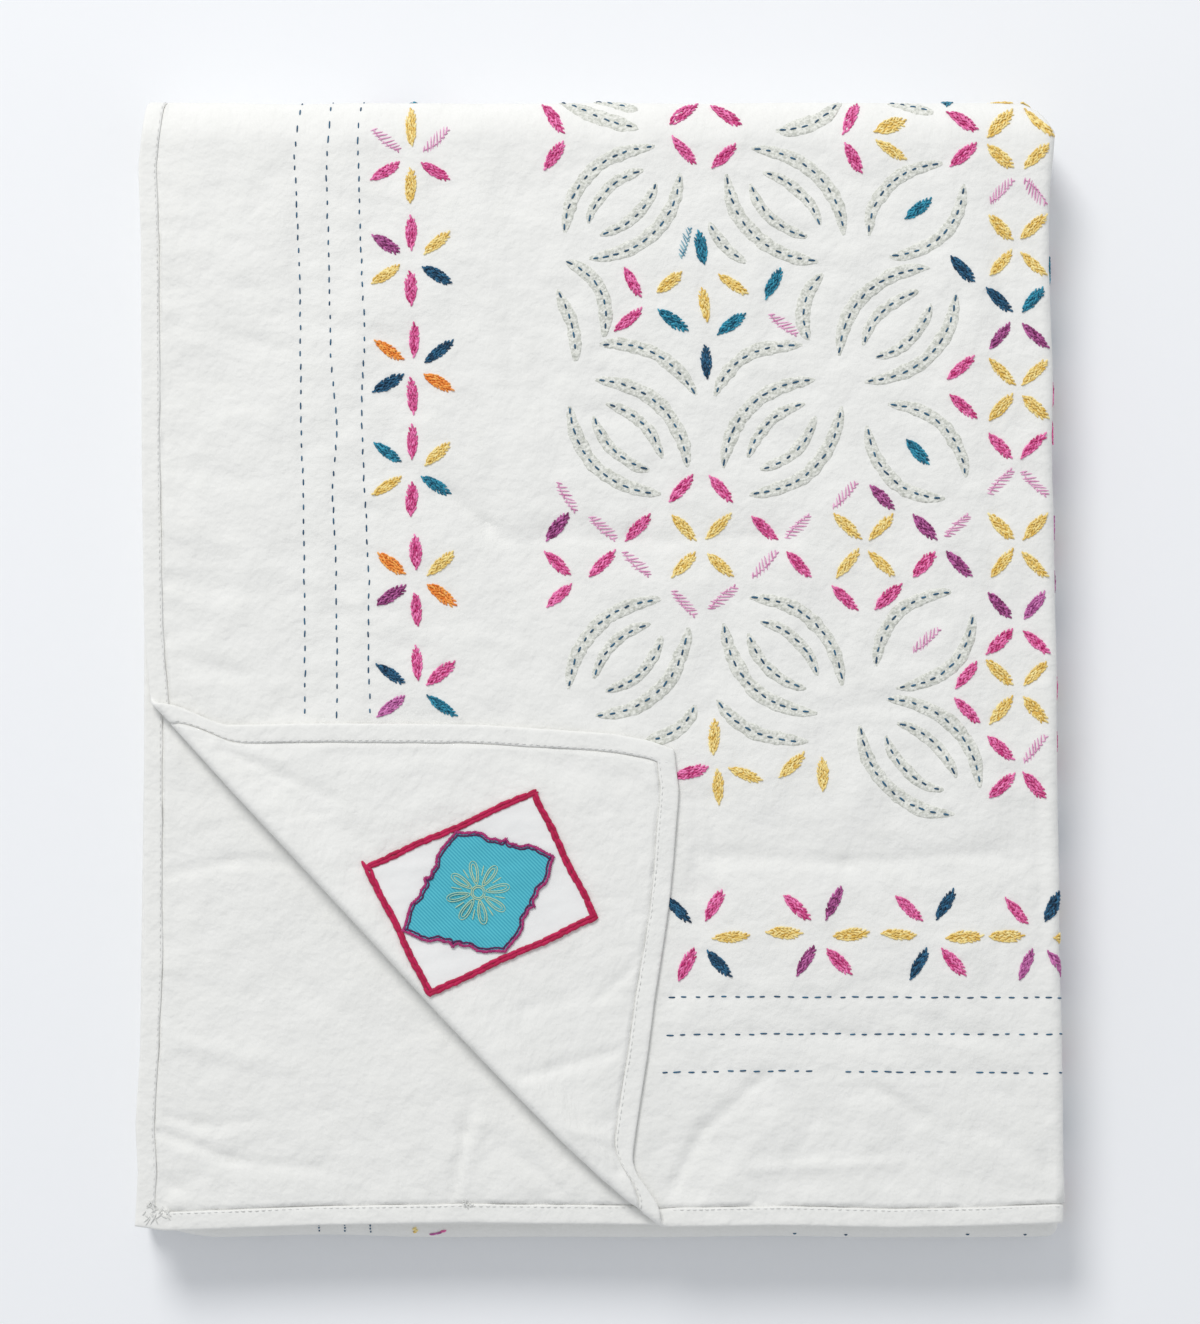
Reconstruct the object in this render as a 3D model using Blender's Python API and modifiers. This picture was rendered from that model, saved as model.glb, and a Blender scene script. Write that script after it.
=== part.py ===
"""A hand-quilted cotton bed quilt, folded four by four, one front corner turned back.

The cloth is laid out flat first. In this flat plan u runs across the quilt from the left hem,
v runs along it from the front hem, and w is the height over the middle of the cloth on the
face side. The flat pieces are then folded back and forth across, and that pad back and forth
along, so that the face of the first quarter lies on top and again on the ground.
"""
import math

import bmesh
import bpy
import numpy as np

MM = 0.001

# The cloth, in millimetres.
CLOTH = 3.0
PITCH = 3.5
PAD = 4.0 * PITCH
TAPE = 0.6
AIR = 0.3
BINDING = 12.0

# Each straight run of a fold path, the radius of the half turn after it and its way.
ACROSS = (
    # run, radius, way (-1 turns under, 1 turns over)
    (566.0, 1.5 * PITCH, -1),
    (562.0, 0.5 * PITCH, -1),
    (557.0, 0.5 * PITCH, 1),
    (561.0, 0.0, 0),
)
ALONG = (
    (680.0, 1.5 * PAD, -1),
    (676.5, 0.5 * PAD, -1),
    (668.5, 0.5 * PAD, 1),
    (670.5, 0.0, 0),
)
TOP_LAYER = 3.5

# Lines of the flat plan where the first quarter bends, and parts of each later run and turn.
FIRST_U = (
    50.0, 84.0, 96.0, 106.5, 117.0, 127.0, 137.0, 149.0, 172.0, 200.0, 228.0, 256.0, 284.0,
    312.0, 340.0, 368.0, 396.0, 424.0, 452.0, 480.0, 508.0, 538.0, 566.0,
)
FIRST_V = (
    48.0, 84.0, 96.0, 108.0, 119.0, 131.0, 142.0, 154.0, 190.0, 226.0, 262.0, 298.0, 334.0,
    370.0, 406.0, 426.0, 446.0, 482.0, 518.0, 554.0, 590.0, 626.0, 655.0, 680.0,
)
LATER_U = (
    # parts of the turn, then of the run after it
    (4, (1.0,)),
    (4, (1.0,)),
    (4, (0.42, 0.6, 0.75, 0.9)),
)
LATER_V = (
    (6, (1.0,)),
    (5, (1.0,)),
    (5, ()),
)

# How far a hem lies from its straight line, by the place along it.
HEM_LEFT = ((0.0, 25.0), (320.0, 6.9), (370.0, 1.9), (470.0, -1.4), (616.0, -4.0), (663.0, -6.5),
            (740.0, 0.0))
HEM_LAST = ((0.0, 0.0), (32.0, -1.5), (60.0, 0.5), (103.0, -1.7), (160.0, -3.4), (348.0, -1.0),
            (680.0, 0.0))
HEM_FRONT = ((330.0, 0.0), (395.0, 0.5), (468.0, -1.5), (521.0, -0.5), (566.0, 1.0))
HEM_REACH = 380.0

# The turned-back corner: the outer edge of its roll, as two places on the flat plan.
ROLL_FROM = (17.0, 311.8)
ROLL_TO = (323.4, 1.1)
ROLL_RADIUS = 2.6
ROLL_SETTLES = 26.0
FLAP_AIR = 0.6

# How far the edges of the turned corner lie off a straight reflection of the hems.
FLAP_SIDE = ((0.0, 0.0), (9.0, -6.0), (20.0, -14.0), (34.0, -16.0), (63.0, -13.0), (105.0, -8.6),
             (138.0, -6.0), (193.0, 1.4), (221.0, 4.0), (272.0, 7.0), (300.0, 3.5))
FLAP_END = ((29.0, -9.0), (54.0, -10.0), (102.0, -6.0), (211.0, 0.0), (291.0, 0.0),
            (313.0, -2.6), (332.0, -8.0))

# Creases of the top layer, as soft troughs between its raised parts.
CREASES = (
    # from u, v to u, v, half width, depth
    (349.0, 226.0, 540.0, 227.0, 16.0, 1.3),
    (250.0, 427.0, 400.0, 426.0, 14.0, 1.1),
    (346.0, 270.0, 346.0, 190.0, 15.0, 0.9),
    (189.0, 458.0, 232.0, 424.0, 14.0, 0.9),
    (192.0, 387.0, 214.0, 352.0, 14.0, 0.7),
    (330.0, 20.0, 392.0, 92.0, 14.0, 0.9),
    (420.0, 36.0, 520.0, 40.0, 14.0, 0.7),
)
LIFT = 1.4

# Quilted rows and the paired crescents, raised in the face of the top layer.
ROWS_ACROSS = (96.0, 117.0, 137.0)
ROWS_ALONG = (96.0, 119.0, 142.0)
ROW_DEPTH = 0.5
EYES = (
    # centre u, v, lean of the long axis in degrees
    (298.0, 632.0, 44.0),
    (401.0, 630.0, -44.0),
    (484.0, 627.0, 44.0),
    (470.0, 556.0, 44.0),
    (302.0, 487.0, -44.0),
    (398.0, 487.0, -44.0),
    (483.0, 478.0, -44.0),
    (302.0, 350.0, 44.0),
    (399.0, 352.0, -44.0),
    (487.0, 361.0, 44.0),
    (485.0, 287.0, -44.0),
)
EYE_HALF = 38.0
EYE_RISE = 0.9

# The cloth label on the back of the turned corner.
PATCH_SIZE = (115.0, 89.0)
PATCH_AT = (122.6, 114.4)
PATCH_LEAN = 65.1
PATCH_THICK = 0.8
LABEL_SIZE = (63.0, 68.0)
LABEL_AT = (121.8, 113.6)
LABEL_LEAN = -76.5
LABEL_THICK = 0.9


def ease(t):
    t = min(1.0, max(0.0, t))
    return t * t * (3.0 - 2.0 * t)


def read_table(rows, at):
    """The second column of a table at a value of its first, straight between the rows."""
    return float(np.interp(at, [r[0] for r in rows], [r[1] for r in rows]))


def path_length(runs):
    return sum(run + math.pi * radius for run, radius, way in runs)


WIDTH = path_length(ACROSS)
LENGTH = path_length(ALONG)


def folded(runs, height, s):
    """Place, height and heading at the length s of a back-and-forth fold path."""
    place = 0.0
    heading = 0.0
    for run, radius, way in runs:
        if s <= run or way == 0:
            return place + s * math.cos(heading), height + s * math.sin(heading), heading
        place += run * math.cos(heading)
        height += run * math.sin(heading)
        s -= run
        centre = place - way * radius * math.sin(heading)
        level = height + way * radius * math.cos(heading)
        arc = math.pi * radius
        swept = heading + way * min(s, arc) / radius
        place = centre + way * radius * math.sin(swept)
        height = level - way * radius * math.cos(swept)
        if s <= arc:
            return place, height, swept
        s -= arc
        heading = swept


def stacked(u, v, w):
    """A point of the flat plan in the folded stack, with the left front corner at 0, 0."""
    x, level, lean = folded(ACROSS, TOP_LAYER * PITCH, u)
    x -= w * math.sin(lean)
    level += w * math.cos(lean)
    y, z, tilt = folded(ALONG, TOP_LAYER * PAD, v)
    out = level - 0.5 * PAD
    return x, y - out * math.sin(tilt), z + out * math.cos(tilt)


def near_line(x, y, row):
    """How near a place is to a crease, 1 on it and 0 outside its width."""
    x0, y0, x1, y1, half, depth = row
    dx = x1 - x0
    dy = y1 - y0
    t = ((x - x0) * dx + (y - y0) * dy) / (dx * dx + dy * dy)
    t = min(1.0, max(0.0, t))
    away = math.hypot(x - x0 - t * dx, y - y0 - t * dy)
    return math.exp(-((away / half) ** 2))


def lift(x, y):
    """How far the top layer stands off the one below, which is nothing at its folds."""
    rise = LIFT
    for row in CREASES:
        rise -= row[5] * near_line(x, y, row)
    inside = 1.0 - ease((x - 508.0) / 52.0)
    inside *= 1.0 - ease((y - 626.0) / 50.0)
    return max(0.0, rise) * inside


def eye_rise(u, v):
    """Height of the crescents on the face of the top layer."""
    rise = 0.0
    for eu, ev, lean in EYES:
        c = math.cos(math.radians(lean))
        s = math.sin(math.radians(lean))
        a = (u - eu) * c + (v - ev) * s
        b = -(u - eu) * s + (v - ev) * c
        if abs(a) < EYE_HALF + 6.0:
            arc = 8.0 + 13.0 * (1.0 - min(1.0, (a / EYE_HALF) ** 2))
            rise = max(rise, math.exp(-(((abs(b) - arc) / 7.0) ** 2)))
    return EYE_RISE * rise


def row_dent(u, v):
    """Depth of the running-stitch rows on the face of the top layer."""
    dent = 0.0
    if v > 330.0:
        for row in ROWS_ACROSS:
            dent = max(dent, math.exp(-(((u - row) / 3.5) ** 2)))
    if u > 350.0:
        for row in ROWS_ALONG:
            dent = max(dent, math.exp(-(((v - row) / 3.5) ** 2)))
    return ROW_DEPTH * dent


def roll_frame():
    """A place on the roll's start line and the way across it, towards the corner."""
    du = ROLL_TO[0] - ROLL_FROM[0]
    dv = ROLL_TO[1] - ROLL_FROM[1]
    size = math.hypot(du, dv)
    across = (dv / size, -du / size)
    back = ROLL_RADIUS + 0.5 * CLOTH
    return (ROLL_FROM[0] - back * across[0], ROLL_FROM[1] - back * across[1]), across


ROLL_START, ROLL_ACROSS = roll_frame()


def past_roll(u, v):
    """How far a place of the flat plan lies past the start of the roll."""
    return (u - ROLL_START[0]) * ROLL_ACROSS[0] + (v - ROLL_START[1]) * ROLL_ACROSS[1]


def turned_back(u, v, w):
    """A point of the corner that is rolled over and laid back on the top layer."""
    d = past_roll(u, v)
    foot_x = u - d * ROLL_ACROSS[0]
    foot_y = v - d * ROLL_ACROSS[1]
    base = (TOP_LAYER * PAD) + 1.5 * PITCH
    half_turn = math.pi * ROLL_RADIUS
    if d < half_turn:
        a = d / ROLL_RADIUS
        reach = ROLL_RADIUS * math.sin(a) - w * math.sin(a)
        rise = ROLL_RADIUS * (1.0 - math.cos(a)) + w * math.cos(a)
    else:
        settle = ease((d - half_turn) / ROLL_SETTLES)
        reach = half_turn - d
        rise = 2.0 * ROLL_RADIUS * (1.0 - settle) + (CLOTH + FLAP_AIR) * settle - w
    x = foot_x + reach * ROLL_ACROSS[0]
    y = foot_y + reach * ROLL_ACROSS[1]
    off_roll = ease((d - half_turn) / 30.0)
    side = read_table(FLAP_SIDE, y) * off_roll * ease((x - 190.0) / 110.0)
    end = read_table(FLAP_END, x) * off_roll * ease((y - 225.0) / 65.0)
    return x + side, y + end, base + rise + lift(x + side, y + end)


def place(u, v, w):
    """A point of the flat plan where it lies in the folded quilt."""
    top = u <= ACROSS[0][0] and v <= ALONG[0][0]
    if top and past_roll(u, v) > 0.0:
        return turned_back(u, v, w)
    if top and w > 0.0 and past_roll(u, v) < -20.0:
        clear = ease((-past_roll(u, v) - 20.0) / 20.0)
        under = u < 345.0 and v < 318.0
        if not under:
            w += (eye_rise(u, v) - row_dent(u, v)) * clear
    x, y, z = stacked(u, v, w)
    if top:
        z += lift(x, y)
    return x, y, z


def hem_shift(u, v):
    """How far a place of the cut cloth lies off the straight plan because hems are uneven."""
    du = 0.0
    dv = 0.0
    if u < HEM_REACH:
        fade = 1.0 - max(0.0, u - 14.0) / (HEM_REACH - 14.0)
        du += read_table(HEM_LEFT, v) * fade
    if u > WIDTH - 160.0:
        fade = 1.0 - max(0.0, WIDTH - 14.0 - u) / 146.0
        du += read_table(HEM_LAST, v) * fade
    if v < 48.0:
        fade = 1.0 - max(0.0, v - 14.0) / 34.0
        dv += read_table(HEM_FRONT, u) * fade if u < 640.0 else 0.0
    return du, dv


def flat_lines(first, later, runs, edges):
    """Lines across the whole flat plan: the hem's, the first run's, then turns and runs."""
    end = path_length(runs)
    lines = list(edges) + list(first)
    at = runs[0][0]
    for (run, radius, way), (parts, fractions), (next_run, _, _) in zip(runs, later, runs[1:]):
        arc = math.pi * radius
        lines += [at + arc * (i + 1) / parts for i in range(parts)]
        at += arc
        lines += [at + next_run * f for f in fractions]
        at += next_run
    lines = [line for line in lines if line < end - edges[-1] - 5.0]
    return lines + [end - e for e in reversed(edges)]


def grid_mesh(name, u_lines, v_lines):
    """A flat grid through the given lines."""
    bm = bmesh.new()
    count_u = len(u_lines)
    count_v = len(v_lines)
    bmesh.ops.create_grid(bm, x_segments=count_u - 1, y_segments=count_v - 1, size=0.5)
    for vert in bm.verts:
        i = round((vert.co.x + 0.5) * (count_u - 1))
        j = round((vert.co.y + 0.5) * (count_v - 1))
        vert.co = (u_lines[i], v_lines[j], 0.0)
    mesh = bpy.data.meshes.new(name)
    bm.to_mesh(mesh)
    bm.free()
    return mesh


def thickened(mesh, thickness):
    """The mesh made solid with the Solidify modifier, centred on its surface."""
    holder = bpy.data.objects.new("holder", mesh)
    bpy.context.scene.collection.objects.link(holder)
    shell = holder.modifiers.new("shell", "SOLIDIFY")
    shell.thickness = thickness
    shell.offset = 0.0
    shell.use_even_offset = True
    shell.use_quality_normals = True
    graph = bpy.context.evaluated_depsgraph_get()
    solid = bpy.data.meshes.new_from_object(holder.evaluated_get(graph))
    bpy.data.objects.remove(holder)
    bpy.data.meshes.remove(mesh)
    return solid


def face_outwards(bm):
    """Turn all faces round if they point into the solid."""
    if bm.calc_volume(signed=True) < 0.0:
        bmesh.ops.reverse_faces(bm, faces=bm.faces[:])


def cut_by_roll(bm):
    """Edges across the turned corner where its roll bends and where the flap settles."""
    half_turn = math.pi * ROLL_RADIUS
    steps = [half_turn * i / 4.0 for i in range(5)]
    steps += [half_turn + 0.5 * ROLL_SETTLES, half_turn + ROLL_SETTLES]
    for step in steps:
        spot = (ROLL_START[0] + step * ROLL_ACROSS[0], ROLL_START[1] + step * ROLL_ACROSS[1], 0.0)
        bmesh.ops.bisect_plane(
            bm,
            geom=bm.verts[:] + bm.edges[:] + bm.faces[:],
            dist=0.01,
            plane_co=spot,
            plane_no=(ROLL_ACROSS[0], ROLL_ACROSS[1], 0.0),
        )


def shift_hems(bm):
    """Move the points of a flat solid as far as the uneven hems say."""
    for vert in bm.verts:
        du, dv = hem_shift(vert.co.x, vert.co.y)
        vert.co.x += du
        vert.co.y += dv


def fold_up(name, bm, slot, collection):
    """Cut, triangulate and fold a flat solid, and add it as an object."""
    cut_by_roll(bm)
    bmesh.ops.triangulate(bm, faces=bm.faces[:], quad_method="FIXED")
    for vert in bm.verts:
        x, y, z = place(vert.co.x, vert.co.y, vert.co.z)
        vert.co = (x * MM, y * MM, z * MM)
    face_outwards(bm)
    mesh = bpy.data.meshes.new(name)
    bm.to_mesh(mesh)
    bm.free()
    mesh.materials.append(slot)
    mesh.shade_smooth()
    mesh.set_sharp_from_angle(angle=math.radians(50.0))
    piece = bpy.data.objects.new(name, mesh)
    collection.objects.link(piece)
    return piece


def make_cloth(u_lines, v_lines, slot, collection):
    """The quilted cloth in one piece, thinner along its edges under the binding."""
    mesh = thickened(grid_mesh("quilt", u_lines, v_lines), 2.0)
    bm = bmesh.new()
    bm.from_mesh(mesh)
    bpy.data.meshes.remove(mesh)
    field = []
    for face in bm.faces:
        centre = face.calc_center_median()
        if centre.z > 0.9 and 256.0 < centre.x < 538.0 and 262.0 < centre.y < 680.0:
            if not (centre.x < 345.0 and centre.y < 318.0):
                field += face.edges[:]
    bmesh.ops.subdivide_edges(bm, edges=list(set(field)), cuts=1, use_grid_fill=True)
    edge_half = 0.5 * CLOTH - TAPE - AIR
    for vert in bm.verts:
        u = vert.co.x
        v = vert.co.y
        inset = min(u, v, WIDTH - u, LENGTH - v)
        half = edge_half if inset < BINDING + 0.1 else 0.5 * CLOTH
        vert.co.z = math.copysign(half, vert.co.z)
    shift_hems(bm)
    return fold_up("quilt", bm, slot, collection)


def make_binding(u_lines, v_lines, slot, collection):
    """The tape folded round all four edges, a channel open towards the cloth."""
    tape_half = 0.5 * (CLOTH - TAPE)
    reach = BINDING - AIR
    mesh = thickened(grid_mesh("binding", u_lines, v_lines), 2.0 * tape_half)
    bm = bmesh.new()
    bm.from_mesh(mesh)
    bpy.data.meshes.remove(mesh)
    inner = []
    for face in bm.faces:
        centre = face.calc_center_median()
        inset = min(centre.x, centre.y, WIDTH - centre.x, LENGTH - centre.y)
        if inset > reach - 0.05:
            inner.append(face)
    bmesh.ops.delete(bm, geom=inner, context="FACES")
    mesh = bpy.data.meshes.new("binding")
    bm.to_mesh(mesh)
    bm.free()
    solid = thickened(mesh, TAPE)
    bm = bmesh.new()
    bm.from_mesh(solid)
    bpy.data.meshes.remove(solid)
    shift_hems(bm)
    return fold_up("binding", bm, slot, collection)


def make_patch(name, size, at, lean, near, thick, parts, slot, collection):
    """A flat square of cloth on the back of the turned corner, near the given depth."""
    lines = [[side * (i / parts - 0.5) for i in range(parts + 1)] for side in size]
    mesh = thickened(grid_mesh(name, lines[0], lines[1]), thick)
    bm = bmesh.new()
    bm.from_mesh(mesh)
    bpy.data.meshes.remove(mesh)
    c = math.cos(math.radians(lean))
    s = math.sin(math.radians(lean))
    for vert in bm.verts:
        a = vert.co.x
        b = vert.co.y
        u = at[0] + a * c - b * s
        v = at[1] + a * s + b * c
        vert.co = (u, v, vert.co.z - near - 0.5 * thick)
    return fold_up(name, bm, slot, collection)


def make_material(name, colour, roughness):
    material = bpy.data.materials.new(name)
    material.use_nodes = True
    shader = material.node_tree.nodes["Principled BSDF"]
    shader.inputs["Base Color"].default_value = (*colour, 1.0)
    shader.inputs["Roughness"].default_value = roughness
    shader.inputs["Metallic"].default_value = 0.0
    return material


def centre_on_ground(pieces):
    """Put the middle of the whole quilt over the origin, with its underside on the ground."""
    corners = np.array([vert.co for piece in pieces for vert in piece.data.vertices])
    low = corners.min(axis=0)
    high = corners.max(axis=0)
    shift = (-0.5 * (low[0] + high[0]), -0.5 * (low[1] + high[1]), -low[2])
    for piece in pieces:
        for vert in piece.data.vertices:
            vert.co.x += shift[0]
            vert.co.y += shift[1]
            vert.co.z += shift[2]


def main():
    for obj in list(bpy.data.objects):
        bpy.data.objects.remove(obj)
    collection = bpy.data.collections.new("folded_quilt")
    bpy.context.scene.collection.children.link(collection)
    white = make_material("white_cotton", (0.80, 0.80, 0.77), 0.9)
    tape = make_material("white_binding", (0.82, 0.82, 0.79), 0.9)
    patch = make_material("white_patch", (0.83, 0.83, 0.80), 0.9)
    turquoise = make_material("turquoise_label", (0.07, 0.45, 0.58), 0.85)

    cloth_edges = (TAPE + AIR, BINDING, BINDING + 0.6)
    tape_edges = (0.5 * TAPE, BINDING - AIR)
    cloth_u = flat_lines(FIRST_U, LATER_U, ACROSS, cloth_edges)
    cloth_v = flat_lines(FIRST_V, LATER_V, ALONG, cloth_edges)
    tape_u = flat_lines(FIRST_U, LATER_U, ACROSS, tape_edges)
    tape_v = flat_lines(FIRST_V, LATER_V, ALONG, tape_edges)

    back = 0.5 * CLOTH + AIR
    pieces = [
        make_cloth(cloth_u, cloth_v, white, collection),
        make_binding(tape_u, tape_v, tape, collection),
        make_patch("label_patch", PATCH_SIZE, PATCH_AT, PATCH_LEAN, back, PATCH_THICK, 6,
                   patch, collection),
        make_patch("label", LABEL_SIZE, LABEL_AT, LABEL_LEAN, back + PATCH_THICK + AIR,
                   LABEL_THICK, 5, turquoise, collection),
    ]
    centre_on_ground(pieces)


main()
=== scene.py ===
"""Looks of a folded hand-quilted cotton quilt with coloured embroidery.

Lengths here are millimetres on the flat cloth until to_world turns them into metres. On the
flat cloth u runs across from the left hem, v along from the front hem, and w is the height over
the middle of the cloth on the face side.
"""
import math

import bmesh
import bpy
import numpy as np
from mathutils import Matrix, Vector


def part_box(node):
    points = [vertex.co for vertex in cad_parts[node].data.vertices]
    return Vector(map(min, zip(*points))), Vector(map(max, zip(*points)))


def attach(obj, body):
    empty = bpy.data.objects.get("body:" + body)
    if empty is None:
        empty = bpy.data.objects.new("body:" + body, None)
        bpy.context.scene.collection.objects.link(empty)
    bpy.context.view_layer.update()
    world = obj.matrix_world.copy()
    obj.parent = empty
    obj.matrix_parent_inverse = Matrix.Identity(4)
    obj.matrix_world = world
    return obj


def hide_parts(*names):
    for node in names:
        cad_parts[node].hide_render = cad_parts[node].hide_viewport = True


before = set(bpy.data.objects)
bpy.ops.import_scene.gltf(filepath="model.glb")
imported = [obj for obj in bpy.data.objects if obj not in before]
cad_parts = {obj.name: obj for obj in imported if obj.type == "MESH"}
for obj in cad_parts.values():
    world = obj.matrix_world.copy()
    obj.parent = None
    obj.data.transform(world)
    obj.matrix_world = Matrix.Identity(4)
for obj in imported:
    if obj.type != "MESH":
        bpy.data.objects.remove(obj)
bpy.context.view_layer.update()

MM = 0.001

# The cloth and its folds, as the solids have them.
CLOTH = 3.0
PITCH = 3.5
PAD = 4.0 * PITCH
TAPE = 0.6
AIR = 0.3
BINDING = 12.0
ACROSS = (
    # run, radius of the half turn after it, way (-1 under, 1 over)
    (566.0, 1.5 * PITCH, -1),
    (562.0, 0.5 * PITCH, -1),
    (557.0, 0.5 * PITCH, 1),
    (561.0, 0.0, 0),
)
ALONG = (
    (680.0, 1.5 * PAD, -1),
    (676.5, 0.5 * PAD, -1),
    (668.5, 0.5 * PAD, 1),
    (670.5, 0.0, 0),
)
TOP_LAYER = 3.5
WIDTH = sum(run + math.pi * radius for run, radius, way in ACROSS)
LENGTH = sum(run + math.pi * radius for run, radius, way in ALONG)

# How far a hem lies from its straight line, by the place along it.
HEM_LEFT = ((0.0, 25.0), (320.0, 6.9), (370.0, 1.9), (470.0, -1.4), (616.0, -4.0), (663.0, -6.5),
            (740.0, 0.0))
HEM_LAST = ((0.0, 0.0), (32.0, -1.5), (60.0, 0.5), (103.0, -1.7), (160.0, -3.4), (348.0, -1.0),
            (680.0, 0.0))
HEM_FRONT = ((330.0, 0.0), (395.0, 0.5), (468.0, -1.5), (521.0, -0.5), (566.0, 1.0))
HEM_UNDER = ((0.0, -1.0), (18.0, -3.8), (60.0, -2.4), (111.0, -0.4), (200.0, 1.0), (300.0, 0.0))
HEM_REACH = 380.0

# The turned-back corner.
ROLL_FROM = (17.0, 311.8)
ROLL_TO = (323.4, 1.1)
ROLL_RADIUS = 2.6
ROLL_SETTLES = 26.0
HALF_TURN = math.pi * ROLL_RADIUS
FLAP_AIR = 0.6
FLAP_SIDE = ((0.0, 0.0), (9.0, -6.0), (20.0, -14.0), (34.0, -16.0), (63.0, -13.0), (105.0, -8.6),
             (138.0, -6.0), (193.0, 1.4), (221.0, 4.0), (272.0, 7.0), (300.0, 3.5))
FLAP_END = ((29.0, -9.0), (54.0, -10.0), (102.0, -6.0), (211.0, 0.0), (291.0, 0.0),
            (313.0, -2.6), (332.0, -8.0))
# How much higher than a tight half turn the turned corner's fold stands, and how far it bulges
# out, by the part of its length from the left end.
FOLD_PUFF = 0.8
FOLD_BULGE = ((0.0, 0.8), (0.03, 1.5), (0.13, 3.0), (0.28, 4.4), (0.43, 6.0), (0.57, 7.8),
              (0.72, 8.4), (0.82, 8.3), (0.90, 6.8), (0.97, 3.6), (1.0, 1.5))

# Main creases of the top layer, between which it stands off the layer below.
CREASES = (
    # from u, v to u, v, half width, depth
    (349.0, 226.0, 540.0, 227.0, 16.0, 1.3),
    (250.0, 427.0, 400.0, 426.0, 14.0, 1.1),
    (346.0, 270.0, 346.0, 190.0, 15.0, 0.9),
    (189.0, 458.0, 232.0, 424.0, 14.0, 0.9),
    (192.0, 387.0, 214.0, 352.0, 14.0, 0.7),
    (330.0, 20.0, 392.0, 92.0, 14.0, 0.9),
    (420.0, 36.0, 520.0, 40.0, 14.0, 0.7),
)
LIFT = 1.4

# Finer troughs (depth over 0) and ridges (depth under 0) of the face of the top layer.
FACE_WRINKLES = (
    (349.0, 228.0, 440.0, 222.0, 4.5, 0.55),
    (440.0, 222.0, 530.0, 229.0, 4.5, 0.5),
    (360.0, 222.0, 353.0, 262.0, 4.0, 0.5),
    (189.0, 455.0, 216.0, 434.0, 3.5, 0.6),
    (216.0, 434.0, 228.0, 424.0, 3.5, 0.5),
    (192.0, 390.0, 204.0, 366.0, 3.5, 0.5),
    (204.0, 366.0, 236.0, 356.0, 4.0, -0.35),
    (150.0, 516.0, 190.0, 500.0, 5.0, 0.3),
    (168.0, 560.0, 172.0, 500.0, 5.0, 0.3),
    (228.0, 600.0, 232.0, 520.0, 6.0, 0.35),
    (210.0, 640.0, 236.0, 560.0, 6.0, -0.3),
    (40.0, 560.0, 84.0, 545.0, 6.0, 0.3),
    (20.0, 470.0, 60.0, 462.0, 6.0, 0.35),
    (18.0, 400.0, 70.0, 392.0, 6.0, 0.3),
    (26.0, 352.0, 62.0, 340.0, 5.0, 0.45),
    (30.0, 640.0, 80.0, 655.0, 7.0, 0.3),
    (560.0, 270.0, 560.0, 196.0, 4.0, 0.45),
    (346.0, 270.0, 346.0, 205.0, 4.0, 0.4),
    (380.0, 34.0, 470.0, 38.0, 3.8, -0.60),
    (452.0, 86.0, 486.0, 66.0, 3.4, 0.65),
    (330.0, 18.0, 352.0, 60.0, 3.6, 0.75),
    (352.0, 60.0, 390.0, 92.0, 3.6, 0.55),
    (350.0, 12.0, 392.0, 60.0, 5.0, -0.35),
    (400.0, 130.0, 452.0, 112.0, 5.0, 0.3),
    (470.0, 128.0, 540.0, 108.0, 5.0, 0.3),
    (420.0, 66.0, 400.0, 30.0, 5.0, 0.3),
    (520.0, 60.0, 560.0, 36.0, 6.0, 0.35),
    (536.0, 660.0, 540.0, 560.0, 6.0, 0.35),
    (536.0, 500.0, 532.0, 380.0, 6.0, 0.35),
    (250.0, 428.0, 330.0, 424.0, 4.5, 0.4),
    (330.0, 424.0, 392.0, 428.0, 4.5, 0.35),
    (392.0, 320.0, 470.0, 318.0, 5.0, 0.3),
    (250.0, 520.0, 262.0, 470.0, 5.0, 0.35),
    (180.0, 700.0, 184.0, 640.0, 6.0, 0.3),
    (230.0, 700.0, 226.0, 650.0, 6.0, 0.3),
)
# The same for the bare back of the layer under the corner, and for the turned corner's back.
UNDER_WRINKLES = (
    (12.0, 66.0, 40.0, 61.0, 2.9, 0.75),
    (12.0, 57.0, 60.0, 39.0, 3.0, 0.85),
    (44.0, 60.0, 76.0, 64.0, 3.4, 0.45),
    (60.0, 39.0, 114.0, 34.0, 3.6, 0.55),
    (14.0, 214.0, 58.0, 224.0, 3.6, 0.7),
    (58.0, 224.0, 90.0, 223.0, 3.8, 0.5),
    (196.0, 14.0, 203.0, 56.0, 3.2, 0.8),
    (203.0, 56.0, 208.0, 80.0, 3.2, 0.6),
    (200.0, 18.0, 212.0, 62.0, 3.6, -0.5),
    (14.0, 30.0, 30.0, 20.0, 3.2, 0.6),
    (150.0, 60.0, 172.0, 22.0, 3.4, 0.45),
    (230.0, 46.0, 262.0, 22.0, 3.4, 0.45),
    (20.0, 150.0, 70.0, 140.0, 6.0, 0.35),
    (30.0, 110.0, 90.0, 96.0, 6.0, -0.4),
    (120.0, 70.0, 150.0, 24.0, 6.0, 0.35),
    (236.0, 60.0, 268.0, 20.0, 5.0, -0.4),
    (26.0, 260.0, 40.0, 200.0, 5.0, -0.35),
    (90.0, 150.0, 130.0, 130.0, 6.0, 0.3),
    (16.0, 20.0, 40.0, 30.0, 5.0, 0.4),
)
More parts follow.
